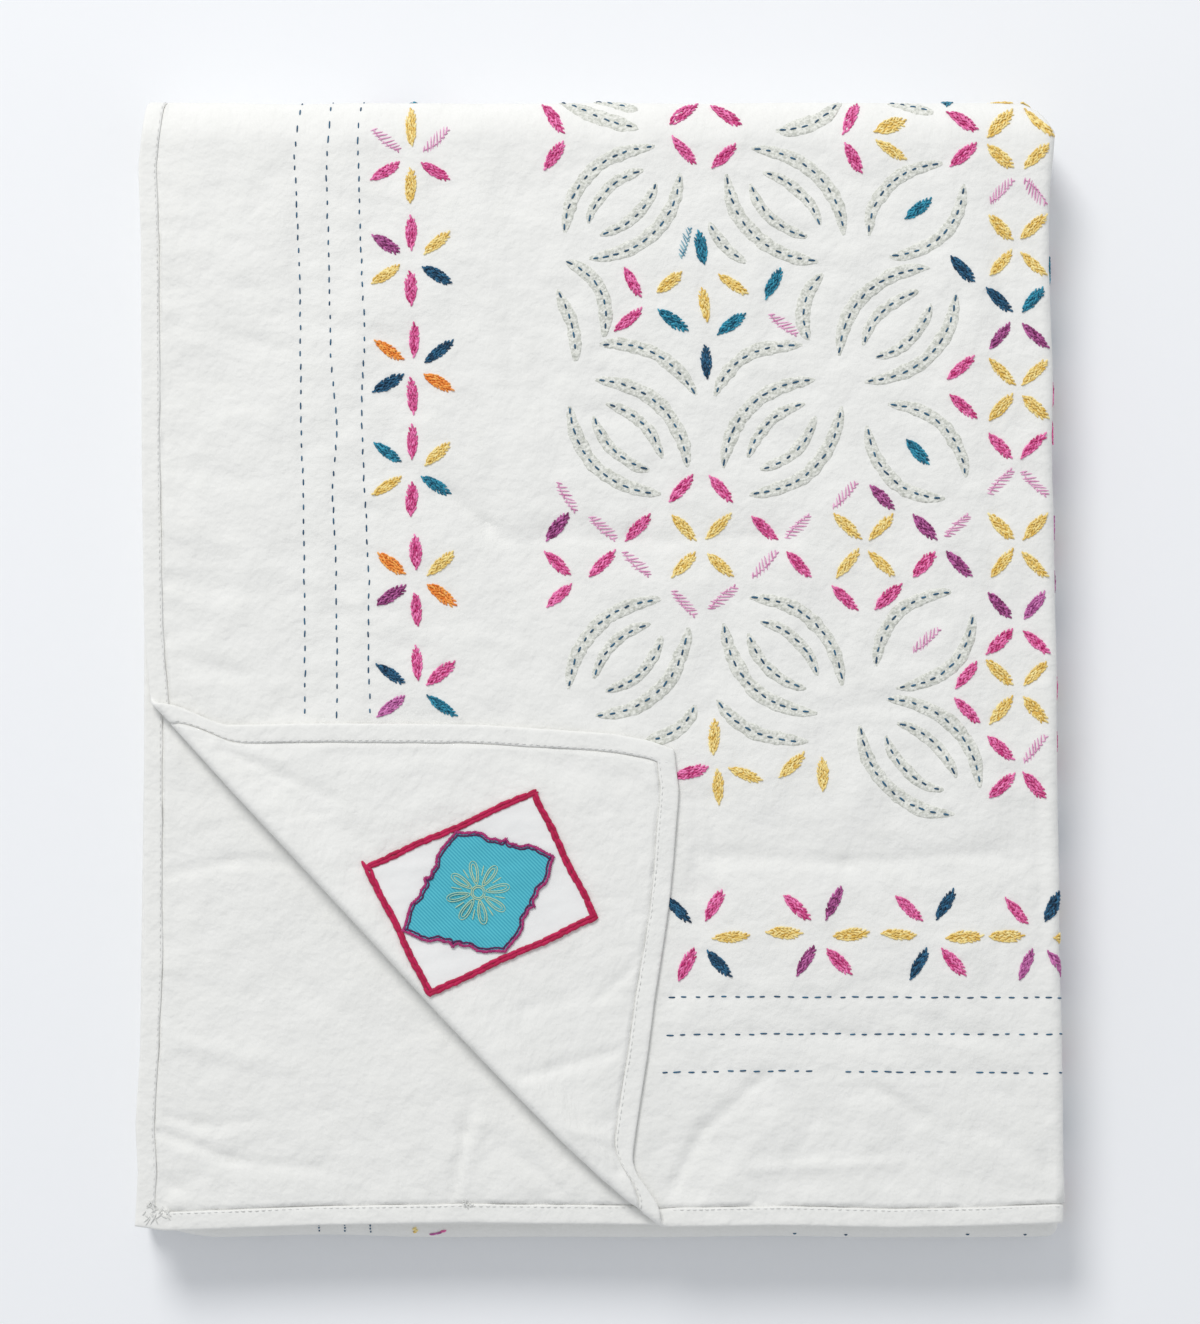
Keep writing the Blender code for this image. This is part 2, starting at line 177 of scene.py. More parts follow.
FLAP_WRINKLES = (
    # these are places where the corner lies, not on the flat cloth
    (236.0, 90.0, 311.0, 110.0, 3.8, 0.75),
    (286.0, 138.0, 312.0, 162.0, 3.4, 0.65),
    (250.0, 60.0, 300.0, 52.0, 3.6, -0.60),
    (270.0, 30.0, 312.0, 34.0, 3.2, 0.7),
    (52.0, 292.0, 120.0, 262.0, 3.8, 0.7),
    (44.0, 296.0, 92.0, 284.0, 4.0, -0.4),
    (70.0, 276.0, 140.0, 236.0, 5.0, 0.35),
    (120.0, 288.0, 190.0, 290.0, 5.0, 0.35),
    (226.0, 290.0, 300.0, 272.0, 6.0, 0.35),
    (300.0, 250.0, 318.0, 200.0, 5.0, 0.4),
    (150.0, 240.0, 190.0, 262.0, 6.0, -0.3),
    (240.0, 130.0, 290.0, 150.0, 6.0, 0.3),
)

# Thread colours, linear: a light and a dark version of each thread. Strands take random mixes of
# the two, partly the thread's own uneven tone and partly painted light and shade that stand in for
# lit stitches and shaded ones; pads under petals take mostly the dark version as painted shade.
THREADS = {
    "magenta": ((0.980, 0.280, 0.580), (0.540, 0.020, 0.170)),
    "pale_pink": ((0.900, 0.520, 0.730), (0.660, 0.240, 0.460)),
    "yellow": ((0.990, 0.850, 0.400), (0.760, 0.490, 0.090)),
    "teal": ((0.045, 0.380, 0.540), (0.004, 0.090, 0.160)),
    "navy": ((0.030, 0.165, 0.310), (0.004, 0.026, 0.062)),
    "plum": ((0.640, 0.170, 0.460), (0.180, 0.014, 0.105)),
    "orchid": ((0.780, 0.270, 0.590), (0.330, 0.045, 0.220)),
    "orange": ((1.000, 0.500, 0.120), (0.780, 0.180, 0.010)),
    "pale_blue": ((0.360, 0.600, 0.660), (0.045, 0.220, 0.350)),
}

# The seed of each thread's random tint between its light and dark colour, and the tint of the pads
# under them: near the dark colour, painted shade between the stitches.
THREAD_SEED = 3
PAD_SHADE_TINT = 0.95

# Petals: their usual size and the flowers and crosses that they make.
PETAL_LONG = 21.6
PETAL_WIDE = 6.9
TALL_FLOWER = (
    # place of a petal from the flower's centre, and the lean of its long axis
    (0.0, 17.8, 90.0),
    (0.0, -17.8, 90.0),
    (-15.8, 11.0, -38.0),
    (15.8, 11.0, 38.0),
    (-15.8, -9.2, 32.0),
    (15.8, -9.2, -34.0),
)
WIDE_FLOWER = (
    (-20.5, 0.6, -3.0),
    (20.0, -0.4, 3.0),
    (-13.5, 16.5, -47.0),
    (9.5, 19.0, 62.0),
    (-7.6, -16.8, 60.0),
    (13.0, -16.6, -48.0),
)
CROSS = (
    (-11.0, 11.6, -46.0),
    (10.6, 11.6, 46.0),
    (-11.0, -11.6, 46.0),
    (10.6, -11.6, -46.0),
)
TALL_FLOWERS = (
    # u, v, colours of top, bottom, upper left, upper right, lower left, lower right
    (166.0, 669.0, "yellow yellow pale_pink pale_pink magenta magenta"),
    (167.3, 602.0, "magenta magenta plum yellow yellow navy"),
    (168.6, 533.5, "magenta magenta orange navy navy orange"),
    (168.0, 468.0, "magenta magenta teal yellow yellow teal"),
    (171.4, 398.5, "magenta magenta orange yellow plum orange"),
    (171.6, 329.0, "magenta none navy magenta orchid teal"),
    (166.8, 736.0, "none teal none none plum pale_pink"),
)
WIDE_FLOWERS = (
    # u, v, colours of left, right, upper left, upper right, lower left, lower right
    (347.5, 176.6, "yellow yellow navy magenta magenta navy"),
    (421.5, 178.0, "yellow yellow magenta plum plum magenta"),
    (491.5, 177.0, "yellow yellow magenta navy navy magenta"),
    (558.5, 176.0, "yellow yellow magenta navy orchid orchid"),
)
CROSSES = (
    # u, v, colours of upper left, upper right, lower left, lower right
    (552.0, 701.0, "yellow yellow yellow yellow"),
    (551.0, 658.5, "yellow yellow pale_pink pale_pink"),
    (551.0, 612.5, "yellow yellow yellow yellow"),
    (550.0, 566.0, "navy teal plum plum"),
    (550.0, 519.7, "yellow yellow yellow yellow"),
    (549.0, 472.5, "magenta magenta pale_pink pale_pink"),
    (549.0, 421.0, "yellow yellow yellow yellow"),
    (548.0, 371.5, "plum orchid magenta magenta"),
    (547.5, 329.3, "yellow yellow yellow yellow"),
    (547.0, 281.8, "magenta pale_pink magenta magenta"),
    (249.5, 420.6, "none plum none magenta"),
    (299.0, 420.6, "pale_pink magenta magenta pale_pink"),
    (350.5, 420.6, "yellow yellow yellow yellow"),
    (400.0, 420.6, "magenta pale_pink pale_pink magenta"),
    (452.0, 420.6, "yellow yellow yellow yellow"),
    (500.4, 420.6, "plum pale_pink magenta plum"),
)
LONE_PETALS = (
    # u, v, lean, colour
    (340.2, 695.0, 34.0, "magenta"),
    (365.9, 693.5, -34.0, "magenta"),
    (339.5, 673.7, -51.0, "magenta"),
    (365.2, 669.5, 45.0, "magenta"),
    (256.9, 691.9, -52.0, "magenta"),
    (257.3, 670.8, 60.0, "magenta"),
    (446.3, 692.5, 55.0, "magenta"),
    (447.1, 668.8, -63.0, "magenta"),
    (471.0, 687.0, 17.0, "yellow"),
    (470.6, 674.3, -30.0, "yellow"),
    (517.1, 690.2, -29.0, "magenta"),
    (509.0, 711.0, 80.0, "teal"),
    (517.5, 671.1, 41.0, "magenta"),
    (515.8, 597.2, -49.0, "navy"),
    (513.2, 533.1, 42.0, "magenta"),
    (515.1, 508.5, -45.0, "magenta"),
    (514.9, 339.6, 47.0, "magenta"),
    (515.5, 316.4, -49.0, "magenta"),
    (350.8, 611.0, 98.0, "teal"),
    (339.6, 613.3, 71.0, "pale_blue"),
    (330.1, 587.5, 41.0, "yellow"),
    (370.0, 587.0, -36.0, "yellow"),
    (351.9, 574.0, 98.0, "yellow"),
    (332.6, 563.9, -33.0, "teal"),
    (369.5, 561.6, 34.0, "teal"),
    (396.1, 588.2, 65.0, "teal"),
    (353.1, 537.0, 91.0, "navy"),
    (307.0, 588.5, -58.0, "magenta"),
    (303.6, 563.8, 41.0, "magenta"),
    (401.4, 562.0, -41.0, "pale_pink"),
    (336.8, 456.6, 45.0, "magenta"),
    (362.5, 456.4, -49.0, "magenta"),
    (338.8, 384.6, -49.0, "pale_pink"),
    (362.9, 387.1, 45.0, "pale_pink"),
    (440.1, 452.9, 48.0, "pale_pink"),
    (463.0, 451.0, -43.0, "plum"),
    (439.9, 387.1, -43.0, "magenta"),
    (467.1, 388.1, 40.0, "magenta"),
    (265.5, 451.6, -57.0, "pale_pink"),
    (260.5, 389.4, 43.0, "magenta"),
    (356.9, 300.5, 90.0, "yellow"),
    (359.6, 269.3, 92.0, "yellow"),
    (376.9, 277.4, -24.0, "yellow"),
    (405.2, 282.7, 45.0, "yellow"),
    (425.1, 276.8, 91.0, "yellow"),
    (343.0, 278.6, 15.0, "magenta"),
    (488.0, 635.9, 40.0, "teal"),
    (485.5, 480.2, -49.0, "teal"),
    (489.4, 361.6, 41.0, "pale_pink"),
    (576.5, 596.0, 96.0, "teal"),
    (577.0, 516.0, 100.0, "magenta"),
    (577.0, 497.0, 72.0, "magenta"),
    (577.0, 430.0, 100.0, "orchid"),
    (577.0, 402.0, 82.0, "plum"),
    (577.5, 330.0, 98.0, "magenta"),
    (577.5, 300.0, 84.0, "magenta"),
)

# Sewn-on crescents: nested pairs round an eye shape, and single ones.
EYES = (
    # u, v, lean of the long axis, whether the small inner pair is there
    (300.4, 639.7, 44.0, True),
    (403.7, 638.4, -44.0, True),
    (486.5, 635.2, 44.0, False),
    (474.0, 561.3, 44.0, True),
    (304.1, 489.7, -44.0, True),
    (401.0, 489.7, 44.0, True),
    (485.3, 480.2, -44.0, False),
    (304.0, 350.0, 44.0, True),
    (400.9, 351.9, -44.0, True),
    (489.1, 361.3, 44.0, False),
    (485.9, 288.0, -44.0, True),
)
# Half length, distance from the long axis at the middle and at the ends, and width.
OUTER_CRESCENT = (40.5, 28.0, 11.5, 9.4)
INNER_CRESCENT = (25.0, 12.4, 5.2, 7.4)
LONE_CRESCENT = (33.5, 23.2, 9.2, 8.8)
SINGLE_CRESCENTS = (
    # first place, middle place, last place, width
    (264.0, 602.0, 286.5, 583.0, 288.5, 553.0, 9.0),
    (259.0, 584.0, 268.5, 561.0, 270.5, 537.0, 8.0),
    (286.0, 548.0, 320.0, 543.0, 347.0, 515.5, 9.0),
    (359.0, 515.5, 378.0, 540.5, 414.0, 548.0, 9.0),
    (355.5, 627.0, 364.5, 612.5, 379.0, 601.0, 7.5),
    (427.0, 594.0, 415.5, 574.0, 418.0, 551.0, 9.0),
    (260.0, 706.0, 279.5, 694.5, 311.0, 687.0, 8.5),
    (282.0, 706.0, 296.0, 701.0, 310.5, 697.0, 7.0),
    (398.0, 685.5, 424.0, 690.0, 441.0, 704.5, 8.5),
    (470.0, 703.5, 484.0, 699.5, 499.5, 695.0, 7.0),
    (359.5, 324.0, 380.5, 304.5, 416.0, 297.0, 9.0),
    (345.5, 320.5, 334.5, 305.5, 313.0, 297.0, 9.0),
    (266.0, 302.5, 268.5, 298.0, 271.0, 294.0, 5.0),
    (577.0, 482.0, 579.0, 468.0, 577.5, 452.0, 6.0),
    (577.0, 374.0, 579.0, 362.0, 578.0, 346.0, 6.0),
    (577.0, 284.0, 579.0, 270.0, 578.0, 252.0, 6.0),
)

# Running-stitch rows along the quilt (u by v) and across it.
ROWS_ALONG = (
    ((313.0, 103.0), (404.0, 101.0), (464.0, 99.8), (492.0, 98.3), (579.0, 96.9), (615.0, 95.3),
     (669.0, 92.3), (706.0, 95.6), (760.0, 97.0)),
    ((313.0, 123.0), (353.0, 122.1), (420.0, 120.3), (458.0, 118.1), (490.0, 121.0),
     (505.0, 120.3), (539.0, 116.8), (593.0, 115.1), (660.0, 112.7), (706.0, 115.0),
     (760.0, 116.0)),
    ((313.0, 143.6), (348.0, 141.5), (400.0, 141.8), (449.0, 138.9), (508.0, 136.0),
     (556.0, 138.2), (615.0, 134.6), (682.0, 132.2), (706.0, 134.8), (760.0, 136.0)),
)
ROWS_ACROSS = (
    # v at the corner's edge, v at the right fold, gaps from and to
    (139.6, 138.8, ()),
    (116.6, 116.3, ()),
    (94.6, 92.4, ((417.0, 433.0), (505.5, 520.5))),
)
# Bits of the embroidery that show on the front fold, and petals on the right folds below.
FOLD_BITS = (
    # u, v, lean, length, colour
    (111.0, 1441.0, 90.0, 0.6, "stitch"),
    (111.0, 1439.8, 90.0, 0.6, "stitch"),
    (111.0, 1438.4, 90.0, 0.6, "stitch"),
    (127.0, 1441.0, 90.0, 0.6, "stitch"),
    (127.2, 1439.8, 90.0, 0.6, "stitch"),
    (127.0, 1438.4, 90.0, 0.6, "stitch"),
    (143.0, 1441.0, 90.0, 0.6, "stitch"),
    (143.0, 1439.8, 90.0, 0.6, "stitch"),
    (143.2, 1438.4, 90.0, 0.6, "stitch"),
    (170.6, 1440.4, 20.0, 2.6, "yellow"),
    (171.4, 1439.8, -10.0, 2.8, "yellow"),
    (170.9, 1439.1, 15.0, 2.4, "yellow"),
    (182.0, 1438.1, 6.0, 4.6, "plum"),
    (185.8, 1438.7, 12.0, 4.8, "plum"),
    (188.6, 1439.5, 6.0, 3.6, "magenta"),
    (408.0, 1437.6, 0.0, 2.0, "stitch"),
    (440.0, 1437.4, 0.0, 1.8, "stitch"),
    (516.0, 1437.8, 0.0, 2.2, "stitch"),
    (552.0, 1437.4, 0.0, 1.8, "stitch"),
)
SIDE_COLOURS = ("yellow", "magenta", "teal", "yellow", "plum", "magenta", "navy")
SIDE_PETALS = (574.0, 772.0, 46.0)
STITCH_STEP = 8.1
STITCH_LONG = 4.2

# The patch and the label on the back of the turned corner, by where their corners lie on it,
# and how far their sides stand out from straight lines, by the part of the side's length.
PATCH_CORNERS = ((141.1, 219.6), (181.3, 140.8), (284.0, 188.0), (245.4, 266.2))
PATCH_SIDE = ((0.0, 0.0), (0.2, 0.5), (0.45, -0.4), (0.7, 0.6), (0.88, -0.2), (1.0, 0.0))
PATCH_THICK = 0.8
LABEL_CORNERS = ((164.4, 180.0), (227.6, 167.0), (257.9, 225.8), (197.0, 241.3))
LABEL_SIDE = ((0.0, 0.0), (0.10, 1.4), (0.20, 3.0), (0.28, 3.2), (0.35, 0.9), (0.41, 1.7),
              (0.46, 1.0), (0.50, 3.6), (0.54, 1.0), (0.60, 1.9), (0.66, 0.8), (0.74, 3.1),
              (0.82, 2.7), (0.91, 0.7), (1.0, 0.0))
LABEL_THICK = 0.7


# Folding the flat cloth.

def ease(t):
    t = np.clip(t, 0.0, 1.0)
    return t * t * (3.0 - 2.0 * t)


def read_table(rows, at):
    return np.interp(at, [r[0] for r in rows], [r[1] for r in rows])


def folded(runs, height, s):
    """Place, height and heading at the lengths s of a back-and-forth fold path."""
    s = np.asarray(s, float)
    place_out = np.zeros_like(s)
    level_out = np.zeros_like(s)
    heading_out = np.zeros_like(s)
    left = s.copy()
    waiting = np.ones(s.shape, bool)
    at = 0.0
    level = height
    heading = 0.0
    for run, radius, way in runs:
        here = waiting & ((left <= run) | (way == 0))
        place_out[here] = at + left[here] * math.cos(heading)
        level_out[here] = level + left[here] * math.sin(heading)
        heading_out[here] = heading
        waiting &= ~here
        if way == 0:
            break
        at += run * math.cos(heading)
        level += run * math.sin(heading)
        left -= run
        centre = at - way * radius * math.sin(heading)
        middle = level + way * radius * math.cos(heading)
        arc = math.pi * radius
        here = waiting & (left <= arc)
        swept = heading + way * left[here] / radius
        place_out[here] = centre + way * radius * np.sin(swept)
        level_out[here] = middle - way * radius * np.cos(swept)
        heading_out[here] = swept
        waiting &= ~here
        heading += way * math.pi
        at = centre + way * radius * math.sin(heading)
        level = middle - way * radius * math.cos(heading)
        left -= arc
    return place_out, level_out, heading_out


def stacked(u, v, w):
    x, level, lean = folded(ACROSS, TOP_LAYER * PITCH, u)
    x = x - w * np.sin(lean)
    level = level + w * np.cos(lean)
    y, z, tilt = folded(ALONG, TOP_LAYER * PAD, v)
    out = level - 0.5 * PAD
    return np.stack([x, y - out * np.sin(tilt), z + out * np.cos(tilt)], axis=-1)


def near_line(x, y, row):
    """How near places are to a line with a half width, 1 on it and 0 far from it."""
    x0, y0, x1, y1, half = row[:5]
    dx = x1 - x0
    dy = y1 - y0
    t = np.clip(((x - x0) * dx + (y - y0) * dy) / (dx * dx + dy * dy), 0.0, 1.0)
    away = np.hypot(x - x0 - t * dx, y - y0 - t * dy)
    return np.exp(-((away / half) ** 2))


def lift(x, y):
    rise = np.full(np.shape(x), LIFT)
    for row in CREASES:
        rise = rise - row[5] * near_line(x, y, row)
    inside = (1.0 - ease((x - 508.0) / 52.0)) * (1.0 - ease((y - 626.0) / 50.0))
    return np.maximum(0.0, rise) * inside


def roll_frame():
    du = ROLL_TO[0] - ROLL_FROM[0]
    dv = ROLL_TO[1] - ROLL_FROM[1]
    size = math.hypot(du, dv)
    across = (dv / size, -du / size)
    back = ROLL_RADIUS + 0.5 * CLOTH
    return (ROLL_FROM[0] - back * across[0], ROLL_FROM[1] - back * across[1]), across


ROLL_START, ROLL_ACROSS = roll_frame()
ROLL_LENGTH = math.hypot(ROLL_TO[0] - ROLL_FROM[0], ROLL_TO[1] - ROLL_FROM[1])


def past_roll(u, v):
    return (u - ROLL_START[0]) * ROLL_ACROSS[0] + (v - ROLL_START[1]) * ROLL_ACROSS[1]


def turned_back(u, v, w):
    d = past_roll(u, v)
    foot_x = u - d * ROLL_ACROSS[0]
    foot_y = v - d * ROLL_ACROSS[1]
    base = TOP_LAYER * PAD + 1.5 * PITCH
    a = np.clip(d / ROLL_RADIUS, 0.0, math.pi)
    rolled = d < HALF_TURN
    settle = ease((d - HALF_TURN) / ROLL_SETTLES)
    reach = np.where(rolled, (ROLL_RADIUS - w) * np.sin(a), HALF_TURN - d)
    end_on = np.minimum(foot_x - ROLL_FROM[0], ROLL_TO[0] - foot_x)
    puff = 1.0 + FOLD_PUFF * ease(end_on / 60.0) * np.exp(-((np.maximum(0.0, -reach) / 26.0) ** 2))
    laid = (2.0 * ROLL_RADIUS * (1.0 - settle) + (CLOTH + FLAP_AIR) * settle) * puff - w
    rise = np.where(rolled, ROLL_RADIUS * (1.0 - np.cos(a)) * puff + w * np.cos(a), laid)
    x = foot_x + reach * ROLL_ACROSS[0]
    y = foot_y + reach * ROLL_ACROSS[1]
    off_roll = ease((d - HALF_TURN) / 30.0)
    side = read_table(FLAP_SIDE, y) * off_roll * ease((x - 190.0) / 110.0)
    end = read_table(FLAP_END, x) * off_roll * ease((y - 225.0) / 65.0)
    return np.stack([x + side, y + end, base + rise + lift(x + side, y + end)], axis=-1)


def bulged(points):
    """Move points near the turned corner's fold sideways, as the fold isn't straight."""
    x = points[..., 0]
    y = points[..., 1]
    inside = np.minimum(past_roll(x, y), 0.0)
    part = ((y - ROLL_START[1]) * ROLL_ACROSS[0] - (x - ROLL_START[0]) * ROLL_ACROSS[1])
    out = read_table(FOLD_BULGE, part / ROLL_LENGTH) * np.exp(-((inside / 62.0) ** 2))
    points[..., 0] += out * ROLL_ACROSS[0]
    points[..., 1] += out * ROLL_ACROSS[1]
    return points


def uneven(points):
    """Waver the right, back and front folds a little and round their corners."""
    x = points[..., 0]
    y = points[..., 1]
    z = points[..., 2]
    right = ease((x - 536.0) / 30.0)
    back = ease((y - 690.0) / 15.0)
    swell = 3.6 * np.exp(-(((y - 692.0) / 26.0) ** 2)) - 0.6
    dx = right * (0.9 * ripple(y, z, 46.0, 0.0, 1.0, 61) + swell)
    dy = back * (0.8 * ripple(x, z, 50.0, 0.0, 1.0, 62) + 3.2)
    near = np.clip((x - 556.0) / 17.0, 0.0, 1.0) * np.clip((y - 688.0) / 20.0, 0.0, 1.0)
    dx = dx - 6.5 * near
    dy = dy - 7.5 * near
    low = ease((41.5 - z) / 3.0) * ease((14.0 - y) / 18.0)
    dy = dy + low * (6.5 * (1.0 - ease(x / 46.0)) + 1.0 * ripple(x, z, 70.0, 0.0, 1.0, 63))
    points[..., 0] += dx
    points[..., 1] += dy
    return points


def place(u, v, w):
    """Where points of the flat cloth lie in the folded quilt."""
    u = np.asarray(u, float)
    v = np.asarray(v, float)
    w = np.broadcast_to(np.asarray(w, float), u.shape)
    top = (u <= ACROSS[0][0]) & (v <= ALONG[0][0])
    back = top & (past_roll(u, v) > 0.0)
    points = stacked(u, v, w)
    raised = top & ~back
    points[raised, 2] += lift(u[raised], v[raised])
    points[back] = turned_back(u[back], v[back], w[back])
    points[top] = bulged(points[top])
    return uneven(points)


QUILT_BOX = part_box("quilt")
FOLD_EDGE = (
    ACROSS[0][0] + ACROSS[0][1] + 0.5 * CLOTH,
    ALONG[0][0] + ALONG[0][1] + 0.5 * PAD - 0.25,
)
ORIGIN = np.array([
    QUILT_BOX[1][0] / MM - FOLD_EDGE[0],
    QUILT_BOX[1][1] / MM - FOLD_EDGE[1],
    -0.25,
])


def to_world(points):
    return (points + ORIGIN) * MM


def hem_shift(u, v):
    """How far places of the cut cloth lie off the straight plan because hems are uneven."""
    fade = 1.0 - np.maximum(0.0, u - 14.0) / (HEM_REACH - 14.0)
    du = read_table(HEM_LEFT, v) * np.where(u < HEM_REACH, fade, 0.0)
    fade = 1.0 - np.maximum(0.0, WIDTH - 14.0 - u) / 146.0
    du = du + read_table(HEM_LAST, v) * np.where(u > WIDTH - 160.0, fade, 0.0)
    fade = 1.0 - np.maximum(0.0, v - 14.0) / 34.0
    dv = read_table(HEM_FRONT, u) * np.where((v < 48.0) & (u < 640.0), fade, 0.0)
    last = (v < 48.0) & (u > WIDTH - 330.0)
    dv = dv + read_table(HEM_UNDER, WIDTH - u) * np.where(last, fade, 0.0)
    return du, dv


# Uneven cloth.

def ripple(u, v, size, lean, stretch, seed):
    """Smooth seeded unevenness from -1 to 1, its bumps size apart and stretch times as long."""
    lattice = np.random.default_rng(seed).uniform(-1.0, 1.0, (97, 97))
    c = math.cos(math.radians(lean))
    s = math.sin(math.radians(lean))
    x = (u * c + v * s) / (size * stretch) + 1000.37
    y = (v * c - u * s) / size + 1000.71
    i = np.floor(x).astype(int)
    j = np.floor(y).astype(int)
    fx = ease(x - i)
    fy = ease(y - j)
    low = lattice[i % 97, j % 97] * (1.0 - fx) + lattice[(i + 1) % 97, j % 97] * fx
    high = lattice[i % 97, (j + 1) % 97] * (1.0 - fx) + lattice[(i + 1) % 97, (j + 1) % 97] * fx
    return low * (1.0 - fy) + high * fy


def troughs(x, y, rows):
    rise = np.zeros(np.shape(x))
    for row in rows:
        rise = rise - row[5] * near_line(x, y, row)
    return rise


def curve_through(first, middle, last, parts):
    """Points of an arc from first to last that passes through middle."""
    t = np.linspace(0.0, 1.0, parts)[:, None]
    bend = 2.0 * np.array(middle) - 0.5 * (np.array(first) + np.array(last))
    return (1 - t) ** 2 * np.array(first) + 2 * t * (1 - t) * bend + t ** 2 * np.array(last)


def eye_arc(eye, kind, side, parts):
    """The middle line of one crescent of an eye."""
    half, middle, ends, width = kind
    c = math.cos(math.radians(eye[2]))
    s = math.sin(math.radians(eye[2]))
    t = np.linspace(-1.0, 1.0, parts)
    a = half * t
    b = side * (middle + (ends - middle) * np.abs(t) ** 2.1)
    return np.stack([eye[0] + a * c - b * s, eye[1] + a * s + b * c], axis=-1)


def all_crescents():
    """Middle line and width of each crescent."""
    found = []
    for eye in EYES:
        outer = OUTER_CRESCENT if eye[3] else LONE_CRESCENT
        for side in (-1, 1):
            found.append((eye_arc(eye, outer, side, 33), outer[3]))
            if eye[3]:
                found.append((eye_arc(eye, INNER_CRESCENT, side, 23), INNER_CRESCENT[3]))
    for row in SINGLE_CRESCENTS:
        found.append((curve_through(row[0:2], row[2:4], row[4:6], 23), row[6]))
    return found


CRESCENTS = all_crescents()


def distance_to(line, u, v):
    """Least distance from places to a line of points."""
    away = np.full(np.shape(u), 1e9)
    for (x0, y0), (x1, y1) in zip(line[:-1], line[1:]):
        dx = x1 - x0
        dy = y1 - y0
        t = np.clip(((u - x0) * dx + (v - y0) * dy) / (dx * dx + dy * dy), 0.0, 1.0)
        away = np.minimum(away, np.hypot(u - x0 - t * dx, v - y0 - t * dy))
    return away


def flap_clear(u, v):
    """1 where the top layer's face is open to view, 0 under the turned corner and its roll."""
    above = v - (312.0 - 0.061 * (u - 17.0))
    beside = u - np.interp(v, [0, 34, 105, 193, 272, 300], [325, 310, 318, 329, 336, 333])
    off_flap = ease((np.maximum(above, beside) - 1.0) / 9.0)
    return off_flap * ease((-past_roll(u, v) - 8.0) / 16.0)


def face_relief(u, v):
    """Height of the quilted face of the top layer over its flat plan."""
    u = np.asarray(u, float)
    v = np.asarray(v, float)
    shape = u.shape
    u = u.ravel()
    v = v.ravel()
    rise = 0.95 * ripple(u, v, 44.0, 25.0, 1.3, 11)
    rise = rise + 0.95 * ripple(u, v, 20.0, 80.0, 1.9, 12)
    rise = rise + 0.55 * ripple(u, v, 10.0, -12.0, 2.6, 13)
    rise = rise + 0.22 * ripple(u, v, 6.0, 60.0, 1.6, 14)
    rise = rise + 2.4 * troughs(u, v, FACE_WRINKLES)
    for line in ROWS_ALONG:
        away = u - np.interp(v, [p[0] for p in line], [p[1] for p in line])
        rise = rise - 0.50 * np.exp(-((away / 3.2) ** 2)) * (v > 300.0)
    for left, right, gaps in ROWS_ACROSS:
        away = v - (left + (right - left) * (u - 324.0) / 247.0)
        rise = rise - 0.45 * np.exp(-((away / 3.2) ** 2)) * (u > 300.0)
    for line, width in CRESCENTS:
        low = line.min(axis=0) - 16.0
        high = line.max(axis=0) + 16.0
        near = (u > low[0]) & (u < high[0]) & (v > low[1]) & (v < high[1])
        if near.any():
            away = distance_to(line, u[near], v[near])
            rise[near] -= 0.42 * np.exp(-((away / 6.0) ** 2))
    beyond = np.maximum(u - 562.0, v - 690.0)
    rise = rise * (1.0 - 0.75 * ease(beyond / 12.0)) * flap_clear(u, v)
    rise = rise + hem_puckers(u, v) * flap_clear(u, v)
    return rise.reshape(shape)


def lies_at(u, v):
    """Where places of the turned corner lie on the quilt, seen from above."""
    points = bulged(turned_back(u, v, np.zeros(np.shape(u))))
    return points[..., 0], points[..., 1]


def flat_under(x, y):
    """The flat places that lie at x, y on the turned corner."""
    aim_x = x
    aim_y = y
    for attempt in range(8):
        reach = HALF_TURN - 2.0 * past_roll(aim_x, aim_y)
        u = aim_x + reach * ROLL_ACROSS[0]
        v = aim_y + reach * ROLL_ACROSS[1]
        short = np.maximum(0.0, HALF_TURN + 0.3 - past_roll(u, v))
        u = u + short * ROLL_ACROSS[0]
        v = v + short * ROLL_ACROSS[1]
        found_x, found_y = lies_at(u, v)
        aim_x = aim_x + 0.8 * (x - found_x)
        aim_y = aim_y + 0.8 * (y - found_y)
    return u, v


def back_relief(u, v):
    """Height of the bare back where it shows: the turned corner and the layer under it."""
    u = np.asarray(u, float)
    v = np.asarray(v, float)
    last = u > 0.5 * WIDTH
    x = np.where(last, WIDTH - u, u)
    d = past_roll(x, v)
    noise = 0.60 * ripple(x, v, 52.0, 40.0, 1.4, 21) + 0.36 * ripple(x, v, 23.0, -35.0, 1.8, 22)
    noise = noise + 0.30 * ripple(x, v, 11.0, 15.0, 2.4, 23)
    noise = noise + 0.13 * ripple(x, v, 6.0, 70.0, 1.8, 24)
    under = (1.5 * noise + 2.4 * troughs(x, v, UNDER_WRINKLES)) * ease((d - 5.0) / 14.0)
    lie_x, lie_y = lies_at(u, v)
    streaks = 0.26 * ripple(lie_x, lie_y, 6.0, 8.0, 7.0, 25)
    corner = noise + streaks + 2.2 * troughs(lie_x, lie_y, FLAP_WRINKLES)
    corner = corner * ease((d - HALF_TURN) / 8.0)
    edge = np.where(last, np.minimum(x, v), np.minimum(u, v))
    hem = 1.0 - 0.6 * np.exp(-((edge - 13.0) / 4.0) ** 2)
    shown = np.where(last, under, corner) * hem + hem_puckers(u, v)
    return shown * (x < 360.0) * (v < 340.0)


# Building meshes.

def spaced(start, end, parts):
    return list(start + (end - start) * (np.arange(parts) + 1.0) / parts)


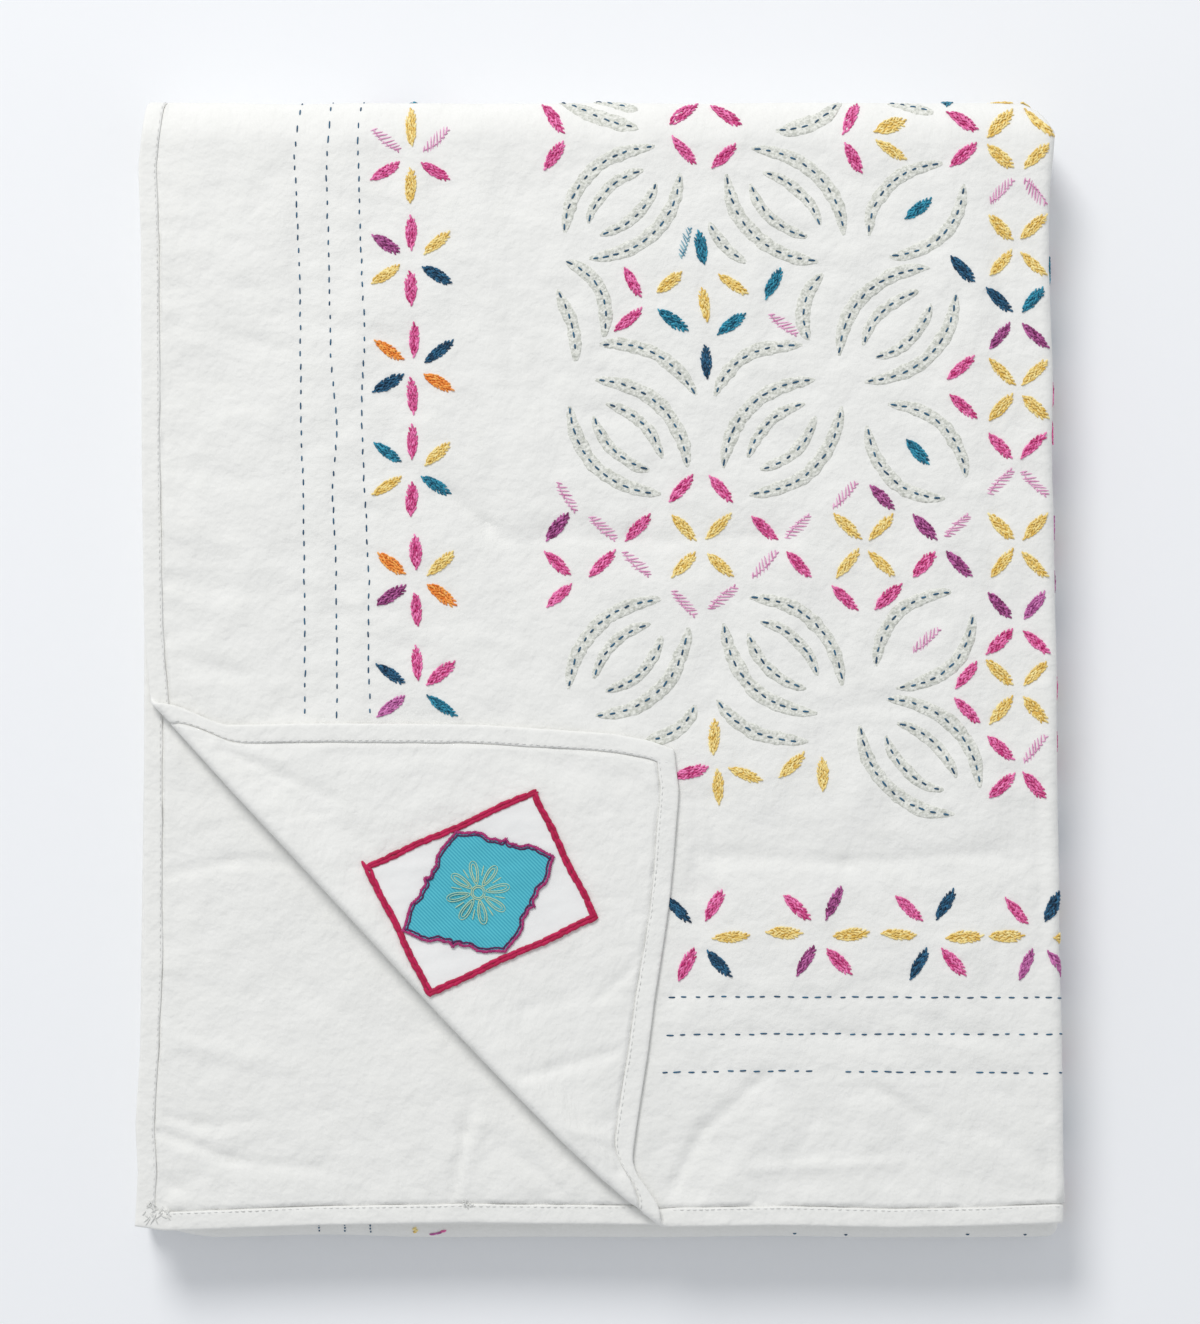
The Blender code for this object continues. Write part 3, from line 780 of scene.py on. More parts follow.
def flat_lines(first_parts, turns, runs, edges, last_fine):
    """Lines of a grid over the flat cloth, fine on the first run."""
    end = sum(run + math.pi * radius for run, radius, way in runs)
    lines = list(edges) + spaced(edges[-1], runs[0][0], first_parts)
    at = runs[0][0]
    for (run, radius, way), (turn_parts, run_parts), row in zip(runs, turns, runs[1:]):
        arc = math.pi * radius
        lines += spaced(at, at + arc, turn_parts)
        at += arc
        if row[2] == 0 and last_fine:
            lines += spaced(at, end - 345.0, run_parts)
            lines += spaced(end - 345.0, end - edges[-1], last_fine)[:-1]
        elif row[2] == 0:
            lines += spaced(at, end - edges[-1], run_parts)[:-1]
        else:
            lines += spaced(at, at + row[0], run_parts)
        at += row[0]
    return lines + [end - e for e in reversed(edges)]


def grid_bmesh(u_lines, v_lines):
    bm = bmesh.new()
    count_u = len(u_lines)
    count_v = len(v_lines)
    bmesh.ops.create_grid(bm, x_segments=count_u - 1, y_segments=count_v - 1, size=0.5)
    for vert in bm.verts:
        i = round((vert.co.x + 0.5) * (count_u - 1))
        j = round((vert.co.y + 0.5) * (count_v - 1))
        vert.co = (u_lines[i], v_lines[j], 0.0)
    return bm


def from_bmesh(name, bm):
    mesh = bpy.data.meshes.new(name)
    bm.to_mesh(mesh)
    bm.free()
    return mesh


def to_bmesh(mesh):
    bm = bmesh.new()
    bm.from_mesh(mesh)
    bpy.data.meshes.remove(mesh)
    return bm


def thickened(mesh, thickness):
    holder = bpy.data.objects.new("holder", mesh)
    bpy.context.scene.collection.objects.link(holder)
    shell = holder.modifiers.new("shell", "SOLIDIFY")
    shell.thickness = thickness
    shell.offset = 0.0
    shell.use_even_offset = True
    shell.use_quality_normals = True
    graph = bpy.context.evaluated_depsgraph_get()
    solid = bpy.data.meshes.new_from_object(holder.evaluated_get(graph))
    bpy.data.objects.remove(holder)
    bpy.data.meshes.remove(mesh)
    return solid


def points_of(mesh):
    flat = np.empty(len(mesh.vertices) * 3)
    mesh.vertices.foreach_get("co", flat)
    return flat.reshape(-1, 3)


def set_points(mesh, points):
    mesh.vertices.foreach_set("co", np.asarray(points, np.float32).ravel())
    mesh.update()


def flat_map(mesh, u, v):
    """A UV map of the flat cloth, in metres, so that the weave follows the threads."""
    layer = mesh.uv_layers.new(name="flat")
    corner = np.empty(len(mesh.loops), np.int32)
    mesh.loops.foreach_get("vertex_index", corner)
    uv = np.stack([u[corner], v[corner]], axis=-1) * MM
    layer.data.foreach_set("uv", uv.astype(np.float32).ravel())


def cut_by_roll(bm, steps):
    """Edges along the roll of the turned corner."""
    for step in steps:
        faces = []
        for face in bm.faces:
            centre = face.calc_center_median()
            if centre.x < 380.0 and centre.y < 380.0:
                if abs(past_roll(centre.x, centre.y) - step) < 18.0:
                    faces.append(face)
        near = set(faces)
        edges = {edge for face in near for edge in face.edges}
        verts = {vert for face in near for vert in face.verts}
        bmesh.ops.bisect_plane(
            bm,
            geom=list(verts) + list(edges) + list(near),
            dist=0.01,
            plane_co=(ROLL_START[0] + step * ROLL_ACROSS[0],
                      ROLL_START[1] + step * ROLL_ACROSS[1], 0.0),
            plane_no=(ROLL_ACROSS[0], ROLL_ACROSS[1], 0.0),
        )


def roll_steps(parts):
    steps = [HALF_TURN * i / parts for i in range(parts + 1)]
    return steps + [HALF_TURN + ROLL_SETTLES * f for f in (0.33, 0.66, 1.0)]


def add_piece(name, mesh, material):
    piece = bpy.data.objects.new(name, mesh)
    bpy.context.scene.collection.objects.link(piece)
    if not mesh.materials:
        mesh.materials.append(material)
    mesh.shade_smooth()
    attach(piece, "root")
    return piece


def outward(bm):
    if bm.calc_volume(signed=True) < 0.0:
        bmesh.ops.reverse_faces(bm, faces=bm.faces[:])


# The quilted cloth and its binding.

def shows_fine(centre):
    """Whether a face of the flat solid is one that shows from above."""
    u = centre.x
    v = centre.y
    if centre.z > 0.9:
        return u < 566.0 and 12.6 < v < 680.0 and u > 12.6 and past_roll(u, v) < -6.0
    if centre.z < -0.9 and v < 335.0 and v > 12.6:
        x = WIDTH - u if u > 0.5 * WIDTH else u
        return 12.6 < x < 340.0 and past_roll(x, v) > -4.0
    return False


def make_quilt(material):
    edges = (TAPE + AIR, BINDING, BINDING + 0.6)
    u_lines = flat_lines(52, ((9, 10), (6, 5), (6, 4)), ACROSS, edges, 30)
    v_lines = flat_lines(62, ((18, 10), (14, 10), (8, 10)), ALONG, edges, 0)
    bm = to_bmesh(thickened(from_bmesh("quilt", grid_bmesh(u_lines, v_lines)), 2.0))
    shown = [face for face in bm.faces if shows_fine(face.calc_center_median())]
    around = list({edge for face in shown for edge in face.edges})
    bmesh.ops.subdivide_edges(bm, edges=around, cuts=3, use_grid_fill=True)
    mesh = from_bmesh("quilt", bm)
    flat = points_of(mesh)
    inset = hem_inset(flat[:, 0], flat[:, 1])
    half = np.where(inset < BINDING + 0.1, 0.5 * CLOTH - TAPE - AIR, 0.5 * CLOTH)
    du, dv = hem_shift(flat[:, 0], flat[:, 1])
    flat[:, 0] += du
    flat[:, 1] += dv
    flat[:, 2] = np.sign(flat[:, 2]) * half
    set_points(mesh, flat)
    bm = to_bmesh(mesh)
    cut_by_roll(bm, roll_steps(7))
    outward(bm)
    many_sided = [face for face in bm.faces if len(face.verts) > 4]
    bmesh.ops.triangulate(bm, faces=many_sided)
    mesh = from_bmesh("quilt", bm)
    flat = points_of(mesh)
    u, v, w = flat.T
    flat_map(mesh, u, v)
    face_up = (w > 1.2) & (u < 590.0) & (v < 770.0) & (past_roll(u, v) < 0.0)
    w = w.copy()
    w[face_up] += face_relief(u[face_up], v[face_up])
    back_up = (w < -1.2) & (v < 340.0) & ((u < 345.0) | (u > WIDTH - 345.0))
    w[back_up] -= back_relief(u[back_up], v[back_up])
    set_points(mesh, to_world(place(u, v, w)))
    return add_piece("quilt_cloth", mesh, material)


def tape_profile(depth):
    """Half thickness of the bound edge at a depth from its outer side."""
    outer = np.sqrt(np.clip(1.0 - (1.0 - np.clip(depth / 1.7, 0.0, 1.0)) ** 2, 0.0, 1.0))
    inner = ease((BINDING - AIR + 0.05 - depth) / 0.9)
    return (0.5 + 0.95 * outer) * (0.72 + 0.28 * inner)


def hem_inset(u, v):
    return np.minimum(np.minimum(u, v), np.minimum(WIDTH - u, LENGTH - v))


def across_hem(u, v, seed):
    """Unevenness in short waves at right angles to the nearest hem."""
    sideways = np.minimum(u, WIDTH - u) < np.minimum(v, LENGTH - v)
    return np.where(sideways, ripple(u, v, 9.0, 0.0, 3.5, seed), ripple(u, v, 9.0, 90.0, 3.5, seed))


def hem_puckers(u, v):
    """Short gathers beside the hems, where the binding is sewn to the cloth."""
    away = np.maximum(0.0, hem_inset(u, v) - 14.0)
    return 0.75 * across_hem(u, v, 34) * np.exp(-((away / 9.0) ** 2))


def make_binding(material):
    edges = (0.05, 0.45, 1.2, 2.6, 5.2, 8.2, 10.6, BINDING - AIR)
    reach = BINDING - AIR
    u_lines = flat_lines(110, ((9, 30), (6, 30), (6, 16)), ACROSS, edges, 70)
    v_lines = flat_lines(130, ((20, 30), (12, 30), (10, 30)), ALONG, edges, 0)
    bm = to_bmesh(thickened(from_bmesh("binding", grid_bmesh(u_lines, v_lines)), 2.0))
    inner = []
    for face in bm.faces:
        centre = face.calc_center_median()
        inset = min(centre.x, centre.y, WIDTH - centre.x, LENGTH - centre.y)
        if inset > reach - 0.02:
            inner.append(face)
    bmesh.ops.delete(bm, geom=inner, context="FACES")
    mesh = from_bmesh("binding", bm)
    flat = points_of(mesh)
    inset = hem_inset(flat[:, 0], flat[:, 1])
    flat[:, 2] = np.sign(flat[:, 2]) * (tape_profile(inset) - 0.25)
    set_points(mesh, flat)
    solid = thickened(mesh, 0.5)
    flat = points_of(solid)
    du, dv = hem_shift(flat[:, 0], flat[:, 1])
    u = flat[:, 0].copy()
    v = flat[:, 1].copy()
    inset = hem_inset(u, v)
    drawn = 0.8 * (0.5 + 0.5 * ripple(u, v, 13.0, 45.0, 1.0, 35)) * ease((inset - 7.0) / 4.0)
    near_side = np.minimum(u, WIDTH - u) < np.minimum(v, LENGTH - v)
    du = du - np.where(near_side, drawn * np.sign(0.5 * WIDTH - u), 0.0)
    dv = dv - np.where(near_side, 0.0, drawn * np.sign(0.5 * LENGTH - v))
    flat[:, 0] += du
    flat[:, 1] += dv
    set_points(solid, flat)
    bm = to_bmesh(solid)
    cut_by_roll(bm, roll_steps(7))
    outward(bm)
    mesh = from_bmesh("binding", bm)
    flat = points_of(mesh)
    u, v, w = flat.T
    flat_map(mesh, u, v)
    w = w.copy()
    pucker = 0.10 * ripple(u, v, 5.5, 20.0, 1.2, 31) + 0.14 * ripple(u, v, 17.0, 60.0, 1.0, 32)
    pucker = pucker + 0.30 * across_hem(u, v, 33)
    w += np.where(np.abs(w) > 0.5, np.sign(w) * pucker, 0.0)
    set_points(mesh, to_world(place(u, v, w)))
    return add_piece("hem_binding", mesh, material)


# Threads.

def on_face(u, v, height):
    return place(u, v, 0.5 * CLOTH + face_relief(u, v) + height)


def on_back(u, v, height):
    return place(u, v, -0.5 * CLOTH - back_relief(u, v) - height)


def strand_lines(strands, ground, radius):
    """The middle lines of threads, each a row of flat places and heights.

    Gives their points, the way up and thickness there, a tint for each thread between its light and
    dark colour, partly its own uneven tone and partly painted light and shade, and the edges.
    """
    strands = np.asarray(strands, float)
    count, length = strands.shape[:2]
    u, v, h = strands[..., 0], strands[..., 1], strands[..., 2]
    middle = ground(u, v, h)
    normal = ground(u, v, h + 1.0) - middle
    normal /= np.linalg.norm(normal, axis=-1, keepdims=True)
    along = np.gradient(middle, axis=1)
    along /= np.maximum(np.linalg.norm(along, axis=-1, keepdims=True), 1e-9)
    side = np.cross(along, normal)
    side /= np.maximum(np.linalg.norm(side, axis=-1, keepdims=True), 1e-9)
    normal = np.cross(side, along)
    t = np.linspace(-1.0, 1.0, length)
    thin = 0.42 + 0.58 * np.sqrt(np.maximum(0.0, 1.0 - np.abs(t) ** 4))
    thick = np.broadcast_to(np.asarray(radius, float), (count,))[:, None] * thin[None, :] * MM
    # A random tint per thread between its light and dark colour: partly the thread's own uneven
    # tone, partly painted light and shade on the stitches.
    tint = np.random.default_rng(THREAD_SEED).uniform(0.0, 1.0, count)
    starts = np.arange(count * length).reshape(count, length)[:, :-1].ravel()
    return {
        "points": to_world(middle).reshape(-1, 3),
        "up": normal.reshape(-1, 3),
        "thick": thick.ravel(),
        "tint": np.repeat(tint, length),
        "edges": [(int(n), int(n) + 1) for n in starts],
    }


def laid_threads_tree():
    """Geometry Nodes that lay a flattened tube along each line of a mesh and keep its pads."""
    tree = bpy.data.node_groups.new("laid_threads", "GeometryNodeTree")
    for socket, kind in (("Geometry", "NodeSocketGeometry"), ("Sides", "NodeSocketInt"),
                         ("Flatness", "NodeSocketFloat"), ("Thread", "NodeSocketMaterial")):
        tree.interface.new_socket(name=socket, in_out="INPUT", socket_type=kind)
    tree.interface.new_socket(name="Geometry", in_out="OUTPUT", socket_type="NodeSocketGeometry")
    start = tree.nodes.new("NodeGroupInput")
    end = tree.nodes.new("NodeGroupOutput")

    def stored(name, kind):
        node = tree.nodes.new("GeometryNodeInputNamedAttribute")
        node.data_type = kind
        node.inputs["Name"].default_value = name
        return node.outputs["Attribute"]

    parted = tree.nodes.new("GeometryNodeSeparateGeometry")
    tree.links.new(start.outputs["Geometry"], parted.inputs["Geometry"])
    tree.links.new(stored("pad", "FLOAT"), parted.inputs["Selection"])
    line = tree.nodes.new("GeometryNodeMeshToCurve")
    tree.links.new(parted.outputs["Inverted"], line.inputs["Mesh"])
    upright = tree.nodes.new("GeometryNodeSetCurveNormal")
    upright.mode = "FREE"
    tree.links.new(line.outputs["Curve"], upright.inputs["Curve"])
    tree.links.new(stored("up", "FLOAT_VECTOR"), upright.inputs["Normal"])
    ring = tree.nodes.new("GeometryNodeCurvePrimitiveCircle")
    ring.inputs["Radius"].default_value = 1.0
    tree.links.new(start.outputs["Sides"], ring.inputs["Resolution"])
    squash = tree.nodes.new("ShaderNodeCombineXYZ")
    squash.inputs["X"].default_value = 1.0
    squash.inputs["Z"].default_value = 1.0
    tree.links.new(start.outputs["Flatness"], squash.inputs["Y"])
    turned = tree.nodes.new("GeometryNodeTransform")
    turned.inputs["Rotation"].default_value = (0.0, 0.0, 0.5 * math.pi)
    tree.links.new(ring.outputs["Curve"], turned.inputs["Geometry"])
    tree.links.new(squash.outputs["Vector"], turned.inputs["Scale"])
    tube = tree.nodes.new("GeometryNodeCurveToMesh")
    tube.inputs["Fill Caps"].default_value = True
    tree.links.new(upright.outputs["Curve"], tube.inputs["Curve"])
    tree.links.new(stored("thick", "FLOAT"), tube.inputs["Scale"])
    tree.links.new(turned.outputs["Geometry"], tube.inputs["Profile Curve"])
    joined = tree.nodes.new("GeometryNodeJoinGeometry")
    tree.links.new(parted.outputs["Selection"], joined.inputs["Geometry"])
    tree.links.new(tube.outputs["Mesh"], joined.inputs["Geometry"])
    realized = tree.nodes.new("GeometryNodeRealizeInstances")
    tree.links.new(joined.outputs["Geometry"], realized.inputs["Geometry"])
    painted = tree.nodes.new("GeometryNodeSetMaterial")
    tree.links.new(realized.outputs["Geometry"], painted.inputs["Geometry"])
    tree.links.new(start.outputs["Thread"], painted.inputs["Material"])
    tree.links.new(painted.outputs["Geometry"], end.inputs["Geometry"])
    return tree


def node_result(mesh, tree, settings):
    """The mesh that a Geometry Nodes tree makes of a mesh, with inputs given by name."""
    holder = bpy.data.objects.new("holder", mesh)
    bpy.context.scene.collection.objects.link(holder)
    nodes = holder.modifiers.new("nodes", "NODES")
    nodes.node_group = tree
    for socket in tree.interface.items_tree:
        if socket.in_out == "INPUT" and socket.name in settings:
            nodes[socket.identifier] = settings[socket.name]
    graph = bpy.context.evaluated_depsgraph_get()
    made = bpy.data.meshes.new_from_object(holder.evaluated_get(graph))
    bpy.data.objects.remove(holder)
    bpy.data.meshes.remove(mesh)
    return made


def add_mesh(name, points, faces, material):
    mesh = bpy.data.meshes.new(name)
    mesh.from_pydata([tuple(p) for p in points], [], faces)
    mesh.update()
    return add_piece(name, mesh, material)


def store(mesh, name, kind, field, values):
    layer = mesh.attributes.new(name, kind, "POINT")
    layer.data.foreach_set(field, np.asarray(values, np.float32).ravel())


def add_threads(name, groups, material, sides=6, flatness=0.8, pads=()):
    """One piece of threads from groups of their middle lines, with pads under them, which are
    tinted near the dark thread colour as painted shade.
    """
    points = []
    edges = []
    faces = []
    up = []
    thick = []
    tint = []
    base = 0
    for group in groups:
        points.append(group["points"])
        up.append(group["up"])
        thick.append(group["thick"])
        tint.append(group["tint"])
        edges += [(a + base, b + base) for a, b in group["edges"]]
        base += len(group["points"])
    lines = base
    for pad_points, pad_faces in pads:
        points.append(pad_points)
        up.append(np.zeros((len(pad_points), 3)))
        thick.append(np.zeros(len(pad_points)))
        # Pads take a tint near the dark thread colour: painted shade between the stitches.
        tint.append(np.full(len(pad_points), PAD_SHADE_TINT))
        faces += [tuple(i + base for i in face) for face in pad_faces]
        base += len(pad_points)
    mesh = bpy.data.meshes.new(name)
    mesh.from_pydata([tuple(p) for p in np.concatenate(points)], edges, faces)
    store(mesh, "up", "FLOAT_VECTOR", "vector", np.concatenate(up))
    store(mesh, "thick", "FLOAT", "value", np.concatenate(thick))
    store(mesh, "tint", "FLOAT", "value", np.concatenate(tint))
    store(mesh, "pad", "FLOAT", "value", np.arange(base) >= lines)
    settings = {"Sides": sides, "Flatness": flatness, "Thread": material}
    made = node_result(mesh, THREAD_TREE, settings)
    for spare in ("up", "thick", "pad", "custom_normal"):
        if spare in made.attributes:
            made.attributes.remove(made.attributes[spare])
    made.name = name
    return add_piece(name, made, material)


THREAD_TREE = laid_threads_tree()


def petal_width(a, long, wide):
    """Half width of a petal at a place along its axis."""
    return 0.5 * wide * np.maximum(0.0, 1.0 - (2.0 * np.abs(a) / long) ** 2.3) ** 0.8


def lump(u, v, lean, a, b, turn, long, high):
    """One short thick stitch of a petal, in the petal's own directions."""
    c = math.cos(math.radians(lean))
    s = math.sin(math.radians(lean))
    t = np.linspace(-1.0, 1.0, 5)
    x = a + 0.5 * long * t * math.cos(math.radians(turn))
    y = b + 0.5 * long * t * math.sin(math.radians(turn))
    h = high - 0.34 * np.abs(t) ** 2.5
    return np.stack([u + x * c - y * s, v + x * s + y * c, h], axis=-1)


def petal_stitches(u, v, lean, long, wide, chance):
    """Rows of short stitches, like an ear of wheat, that fill a petal."""
    stitches = []
    count = 10
    for i in range(count):
        a = -0.46 * long + 0.92 * long * i / (count - 1)
        half = float(petal_width(a, long, wide))
        rows = [(0.35 if i % 2 else -0.35, 14.0 if i % 2 else -14.0, 0.72)]
        if half > 1.4:
            for side in (-1.0, 1.0):
                rows.append((side * (half - 0.60), side * 19.0, 0.42))
        if half > 2.7:
            for side in (-1.0, 1.0):
                rows.append((side * (half - 1.9), -side * 20.0, 0.62))
        for b, turn, high in rows:
            stitches.append(lump(
                u, v, lean, a + chance.uniform(-0.5, 0.5), b + chance.uniform(-0.25, 0.25),
                turn + chance.uniform(-12.0, 12.0), chance.uniform(2.6, 3.6),
                high + chance.uniform(-0.12, 0.12)))
    return stitches


def loose_stitches(u, v, lean, long, wide, chance):
    """Slanting stitches across a petal with cloth showing between them."""
    stitches = []
    count = 8
    way = 1.0 if chance.uniform() < 0.7 else -1.0
    for i in range(count):
        a = -0.43 * long + 0.86 * long * i / (count - 1) + chance.uniform(-0.3, 0.3)
        half = 0.85 * float(petal_width(a, long, wide)) + 0.5
        stitches.append(lump(u, v, lean, a, chance.uniform(-0.3, 0.3),
                             way * 48.0 + chance.uniform(-10.0, 10.0), 2.5 * half + 0.6,
                             0.36 + chance.uniform(-0.08, 0.08)))
        stitches.append(lump(u, v, lean, a + 0.9, -way * 0.55 * half,
                             -way * 22.0 + chance.uniform(-14.0, 14.0), 2.4, 0.48))
    return stitches


def shade_pad_under(u, v, lean, long, wide):
    """A low domed pad that fills between the stitches of a petal; its tint near the dark thread
    colour is painted shade between the stitches.
    """
    c = math.cos(math.radians(lean))
    s = math.sin(math.radians(lean))
    t = np.linspace(-0.95, 0.95, 13)
    k = np.linspace(-1.0, 1.0, 5)
    a = 0.5 * long * t[:, None] + 0.0 * k[None, :]
    b = 0.84 * petal_width(a, long, wide) * k[None, :]
    h = 0.30 * (1.0 - k[None, :] ** 2) - 0.08 + 0.0 * a
    points = to_world(on_face(u + a * c - b * s, v + a * s + b * c, h)).reshape(-1, 3)
    faces = []
    for i in range(12):
        for j in range(4):
            q = i * 5 + j
            faces.append((q, q + 5, q + 6, q + 1))
    return points, faces


def petal_list():
    """Place, lean and colour of each petal."""
    found = []
    for flowers, shape in ((TALL_FLOWERS, TALL_FLOWER), (WIDE_FLOWERS, WIDE_FLOWER),
                           (CROSSES, CROSS)):
        for u, v, colours in flowers:
            for (du, dv, lean), colour in zip(shape, colours.split()):
                if colour != "none":
                    found.append((u + du, v + dv, lean, colour))
    return found + list(LONE_PETALS)


def make_petals(materials):
    chance = np.random.default_rng(7)
    strands = {name: [] for name in THREADS}
    pads = {name: [] for name in THREADS}
    for u, v, lean, colour in petal_list():
        u += chance.uniform(-0.6, 0.6)
        v += chance.uniform(-0.6, 0.6)
        lean += chance.uniform(-4.0, 4.0)
        long = PETAL_LONG * chance.uniform(0.94, 1.06)
        wide = PETAL_WIDE * chance.uniform(0.88, 1.12)
        if float(flap_clear(np.array(u), np.array(v))) < 0.02 and u < 345.0:
            continue
        if colour in ("pale_pink", "pale_blue"):
            wide *= 0.75 if colour == "pale_blue" else 1.0
            strands[colour] += loose_stitches(u, v, lean, long, wide, chance)
        else:
            strands[colour] += petal_stitches(u, v, lean, long, wide, chance)
            # A pad in a dark version of the thread colour: painted shade between the stitches.
            pads[colour].append(shade_pad_under(u, v, lean, long, wide))
    pieces = []
    for name in THREADS:
        if strands[name]:
            thick = (0.42, 0.54) if name in ("pale_pink", "pale_blue") else (0.60, 0.76)
            radius = np.random.default_rng(8).uniform(*thick, len(strands[name]))
            lines = strand_lines(strands[name], on_face, radius)
            pieces.append(add_threads("petals_" + name, [lines], materials[name], sides=5,
                                      pads=pads[name]))
    return pieces


def on_plain_face(u, v, height):
    return place(u, v, 0.5 * CLOTH + height)


def make_side_petals(materials):
    """Petals on the right folds of the lower layers, which show from the side."""
    chance = np.random.default_rng(53)
    pieces = []
    strands = {name: [] for name in SIDE_COLOURS}
    across, start, step = SIDE_PETALS
    for number in range(int((LENGTH - 30.0 - start) / step)):
        name = SIDE_COLOURS[number % len(SIDE_COLOURS)]
        lean = 90.0 + chance.uniform(-28.0, 28.0)
        strands[name] += petal_stitches(across + chance.uniform(-2.0, 2.0), start + step * number,
                                        lean, PETAL_LONG, PETAL_WIDE, chance)
    for name, rows in strands.items():
        radius = chance.uniform(0.60, 0.76, len(rows))
        lines = strand_lines(rows, on_plain_face, radius)
        pieces.append(add_threads("side_petals_" + name, [lines], materials[name], sides=5))
    return pieces


def make_fold_bits(materials):
    pieces = []
    for name in ("stitch", "yellow", "plum", "magenta"):
        rows = [stitch(u, v, lean, long, rise=0.4, sink=0.1)
                for u, v, lean, long, colour in FOLD_BITS if colour == name]
        thick = 0.50 if name == "stitch" else 0.85
        lines = strand_lines(rows, on_plain_face, thick)
        pieces.append(add_threads("fold_bits_" + name, [lines], materials[name]))
    return pieces


def stitch(u, v, lean, long, rise=0.34, sink=0.30):
    """One running stitch that comes up, lies on the cloth and goes down again."""
    c = math.cos(math.radians(lean))
    s = math.sin(math.radians(lean))
    t = np.linspace(-1.0, 1.0, 6)
    a = 0.5 * long * t
    h = rise - (rise + sink) * np.abs(t) ** 3
    return np.stack([u + a * c, v + a * s, h], axis=-1)


def crescent_height(t, k):
    """Height of a crescent over the cloth, along it (t) and across it (k), both -1 to 1."""
    edge = 1.0 - np.abs(k) ** 8
    middle = 1.0 - 0.35 * np.exp(-((k / 0.28) ** 2))
    ends = np.sqrt(np.maximum(0.0, 1.0 - np.abs(t) ** 6))
    return 0.74 * edge * middle * ends - 0.04


def make_rows(materials):
    chance = np.random.default_rng(17)
    dashes = []
    for line in ROWS_ALONG:
        v = 314.0 + chance.uniform(0.0, 4.0)
        while v < 738.0:
            u = float(np.interp(v, [p[0] for p in line], [p[1] for p in line]))
            long = STITCH_LONG * chance.uniform(0.75, 1.25)
            if v > 692.0:
                long = 3.4
            dashes.append(stitch(u + chance.uniform(-0.3, 0.3), v, 90.0 + chance.uniform(-5, 5),
                                 long))
            v += STITCH_STEP * chance.uniform(0.86, 1.14)
    for left, right, gaps in ROWS_ACROSS:
        u = 312.0 + chance.uniform(0.0, 4.0)
        while u < 583.0:
            v = left + (right - left) * (u - 324.0) / 247.0
            long = STITCH_LONG * chance.uniform(0.75, 1.3)
            if not any(a < u < b for a, b in gaps):
                if float(flap_clear(np.array(u), np.array(v))) > 0.4:
                    dashes.append(stitch(u, v + chance.uniform(-0.3, 0.3),
                                         chance.uniform(-5, 5), long))
            u += STITCH_STEP * chance.uniform(0.86, 1.14)
    return add_threads("running_rows", [strand_lines(dashes, on_face, 0.50)], materials["stitch"])


def make_crescents(material, materials):
    chance = np.random.default_rng(23)
    patch_points = []
    patch_faces = []
    dashes = []
    base = 0
    for line, width in CRESCENTS:
        steps = np.hypot(*np.diff(line, axis=0).T)
        length = np.concatenate([[0.0], np.cumsum(steps)])
        rows = max(10, int(length[-1] / 0.9))
        s = np.linspace(0.0, length[-1], rows)
        mid = np.stack([np.interp(s, length, line[:, 0]), np.interp(s, length, line[:, 1])], -1)
        tangent = np.gradient(mid, axis=0)
        tangent /= np.linalg.norm(tangent, axis=1, keepdims=True)
        side = np.stack([-tangent[:, 1], tangent[:, 0]], -1)
        t = np.linspace(-1.0, 1.0, rows)
        half = 0.5 * width * np.maximum(0.08, 1.0 - np.abs(t) ** 3.6) ** 0.6
        k = np.array([-1.04, -1.0, -0.84, -0.45, -0.15, 0.15, 0.45, 0.84, 1.0, 1.04])
        bend = 0.8 * ripple(mid[:, 0], mid[:, 1], 15.0, 0.0, 1.0, 43)
        mid = mid + side * bend[:, None]
        wobble = 1.0 + 0.15 * ripple(mid[:, 0], mid[:, 1], 3.4, 0.0, 1.0, 41)
        place_uv = mid[:, None, :] + side[:, None, :] * (half * wobble)[:, None, None] * k[:, None]
        u, v = place_uv[..., 0], place_uv[..., 1]
        h = crescent_height(t[:, None], np.clip(k, -1.0, 1.0)[None, :])
        h = h + 0.22 * ripple(u, v, 2.2, 0.0, 1.0, 42) * (np.abs(k) < 0.95)
        gathers = np.sin(2.0 * math.pi * s / 3.1 + 2.0 * ripple(s, 7.0 * width, 6.0, 0.0, 1.0, 44))
        h = h + 0.17 * gathers[:, None] * (np.abs(k) > 0.4) * (np.abs(k) < 0.95)
        h = np.where(np.abs(k)[None, :] > 1.01, -0.5, h)
        points = to_world(on_face(u, v, h)).reshape(-1, 3)
        patch_points.append(points)
        across = len(k)
        for i in range(rows - 1):
            for j in range(across - 1):
                q = base + i * across + j
                patch_faces.append((q, q + 1, q + across + 1, q + across))
        base += len(points)
        at = 3.4 + chance.uniform(0.0, 1.5)
        while at < length[-1] - 2.4:
            u0 = float(np.interp(at, length, line[:, 0]))
            v0 = float(np.interp(at, length, line[:, 1]))
            ahead = float(np.interp(at + 1.0, length, line[:, 0])) - u0
            up = float(np.interp(at + 1.0, length, line[:, 1])) - v0
            lean = math.degrees(math.atan2(up, ahead))
            dashes.append(stitch(u0, v0, lean + chance.uniform(-9, 9),
                                 4.3 * chance.uniform(0.8, 1.2), rise=0.78, sink=0.05))
            at += 7.2 * chance.uniform(0.85, 1.18)
    patches = add_mesh("crescents", np.concatenate(patch_points), patch_faces, material)
    threads = add_threads("crescent_stitches", [strand_lines(dashes, on_face, 0.62)],
                          materials["stitch"])
    return [patches, threads]


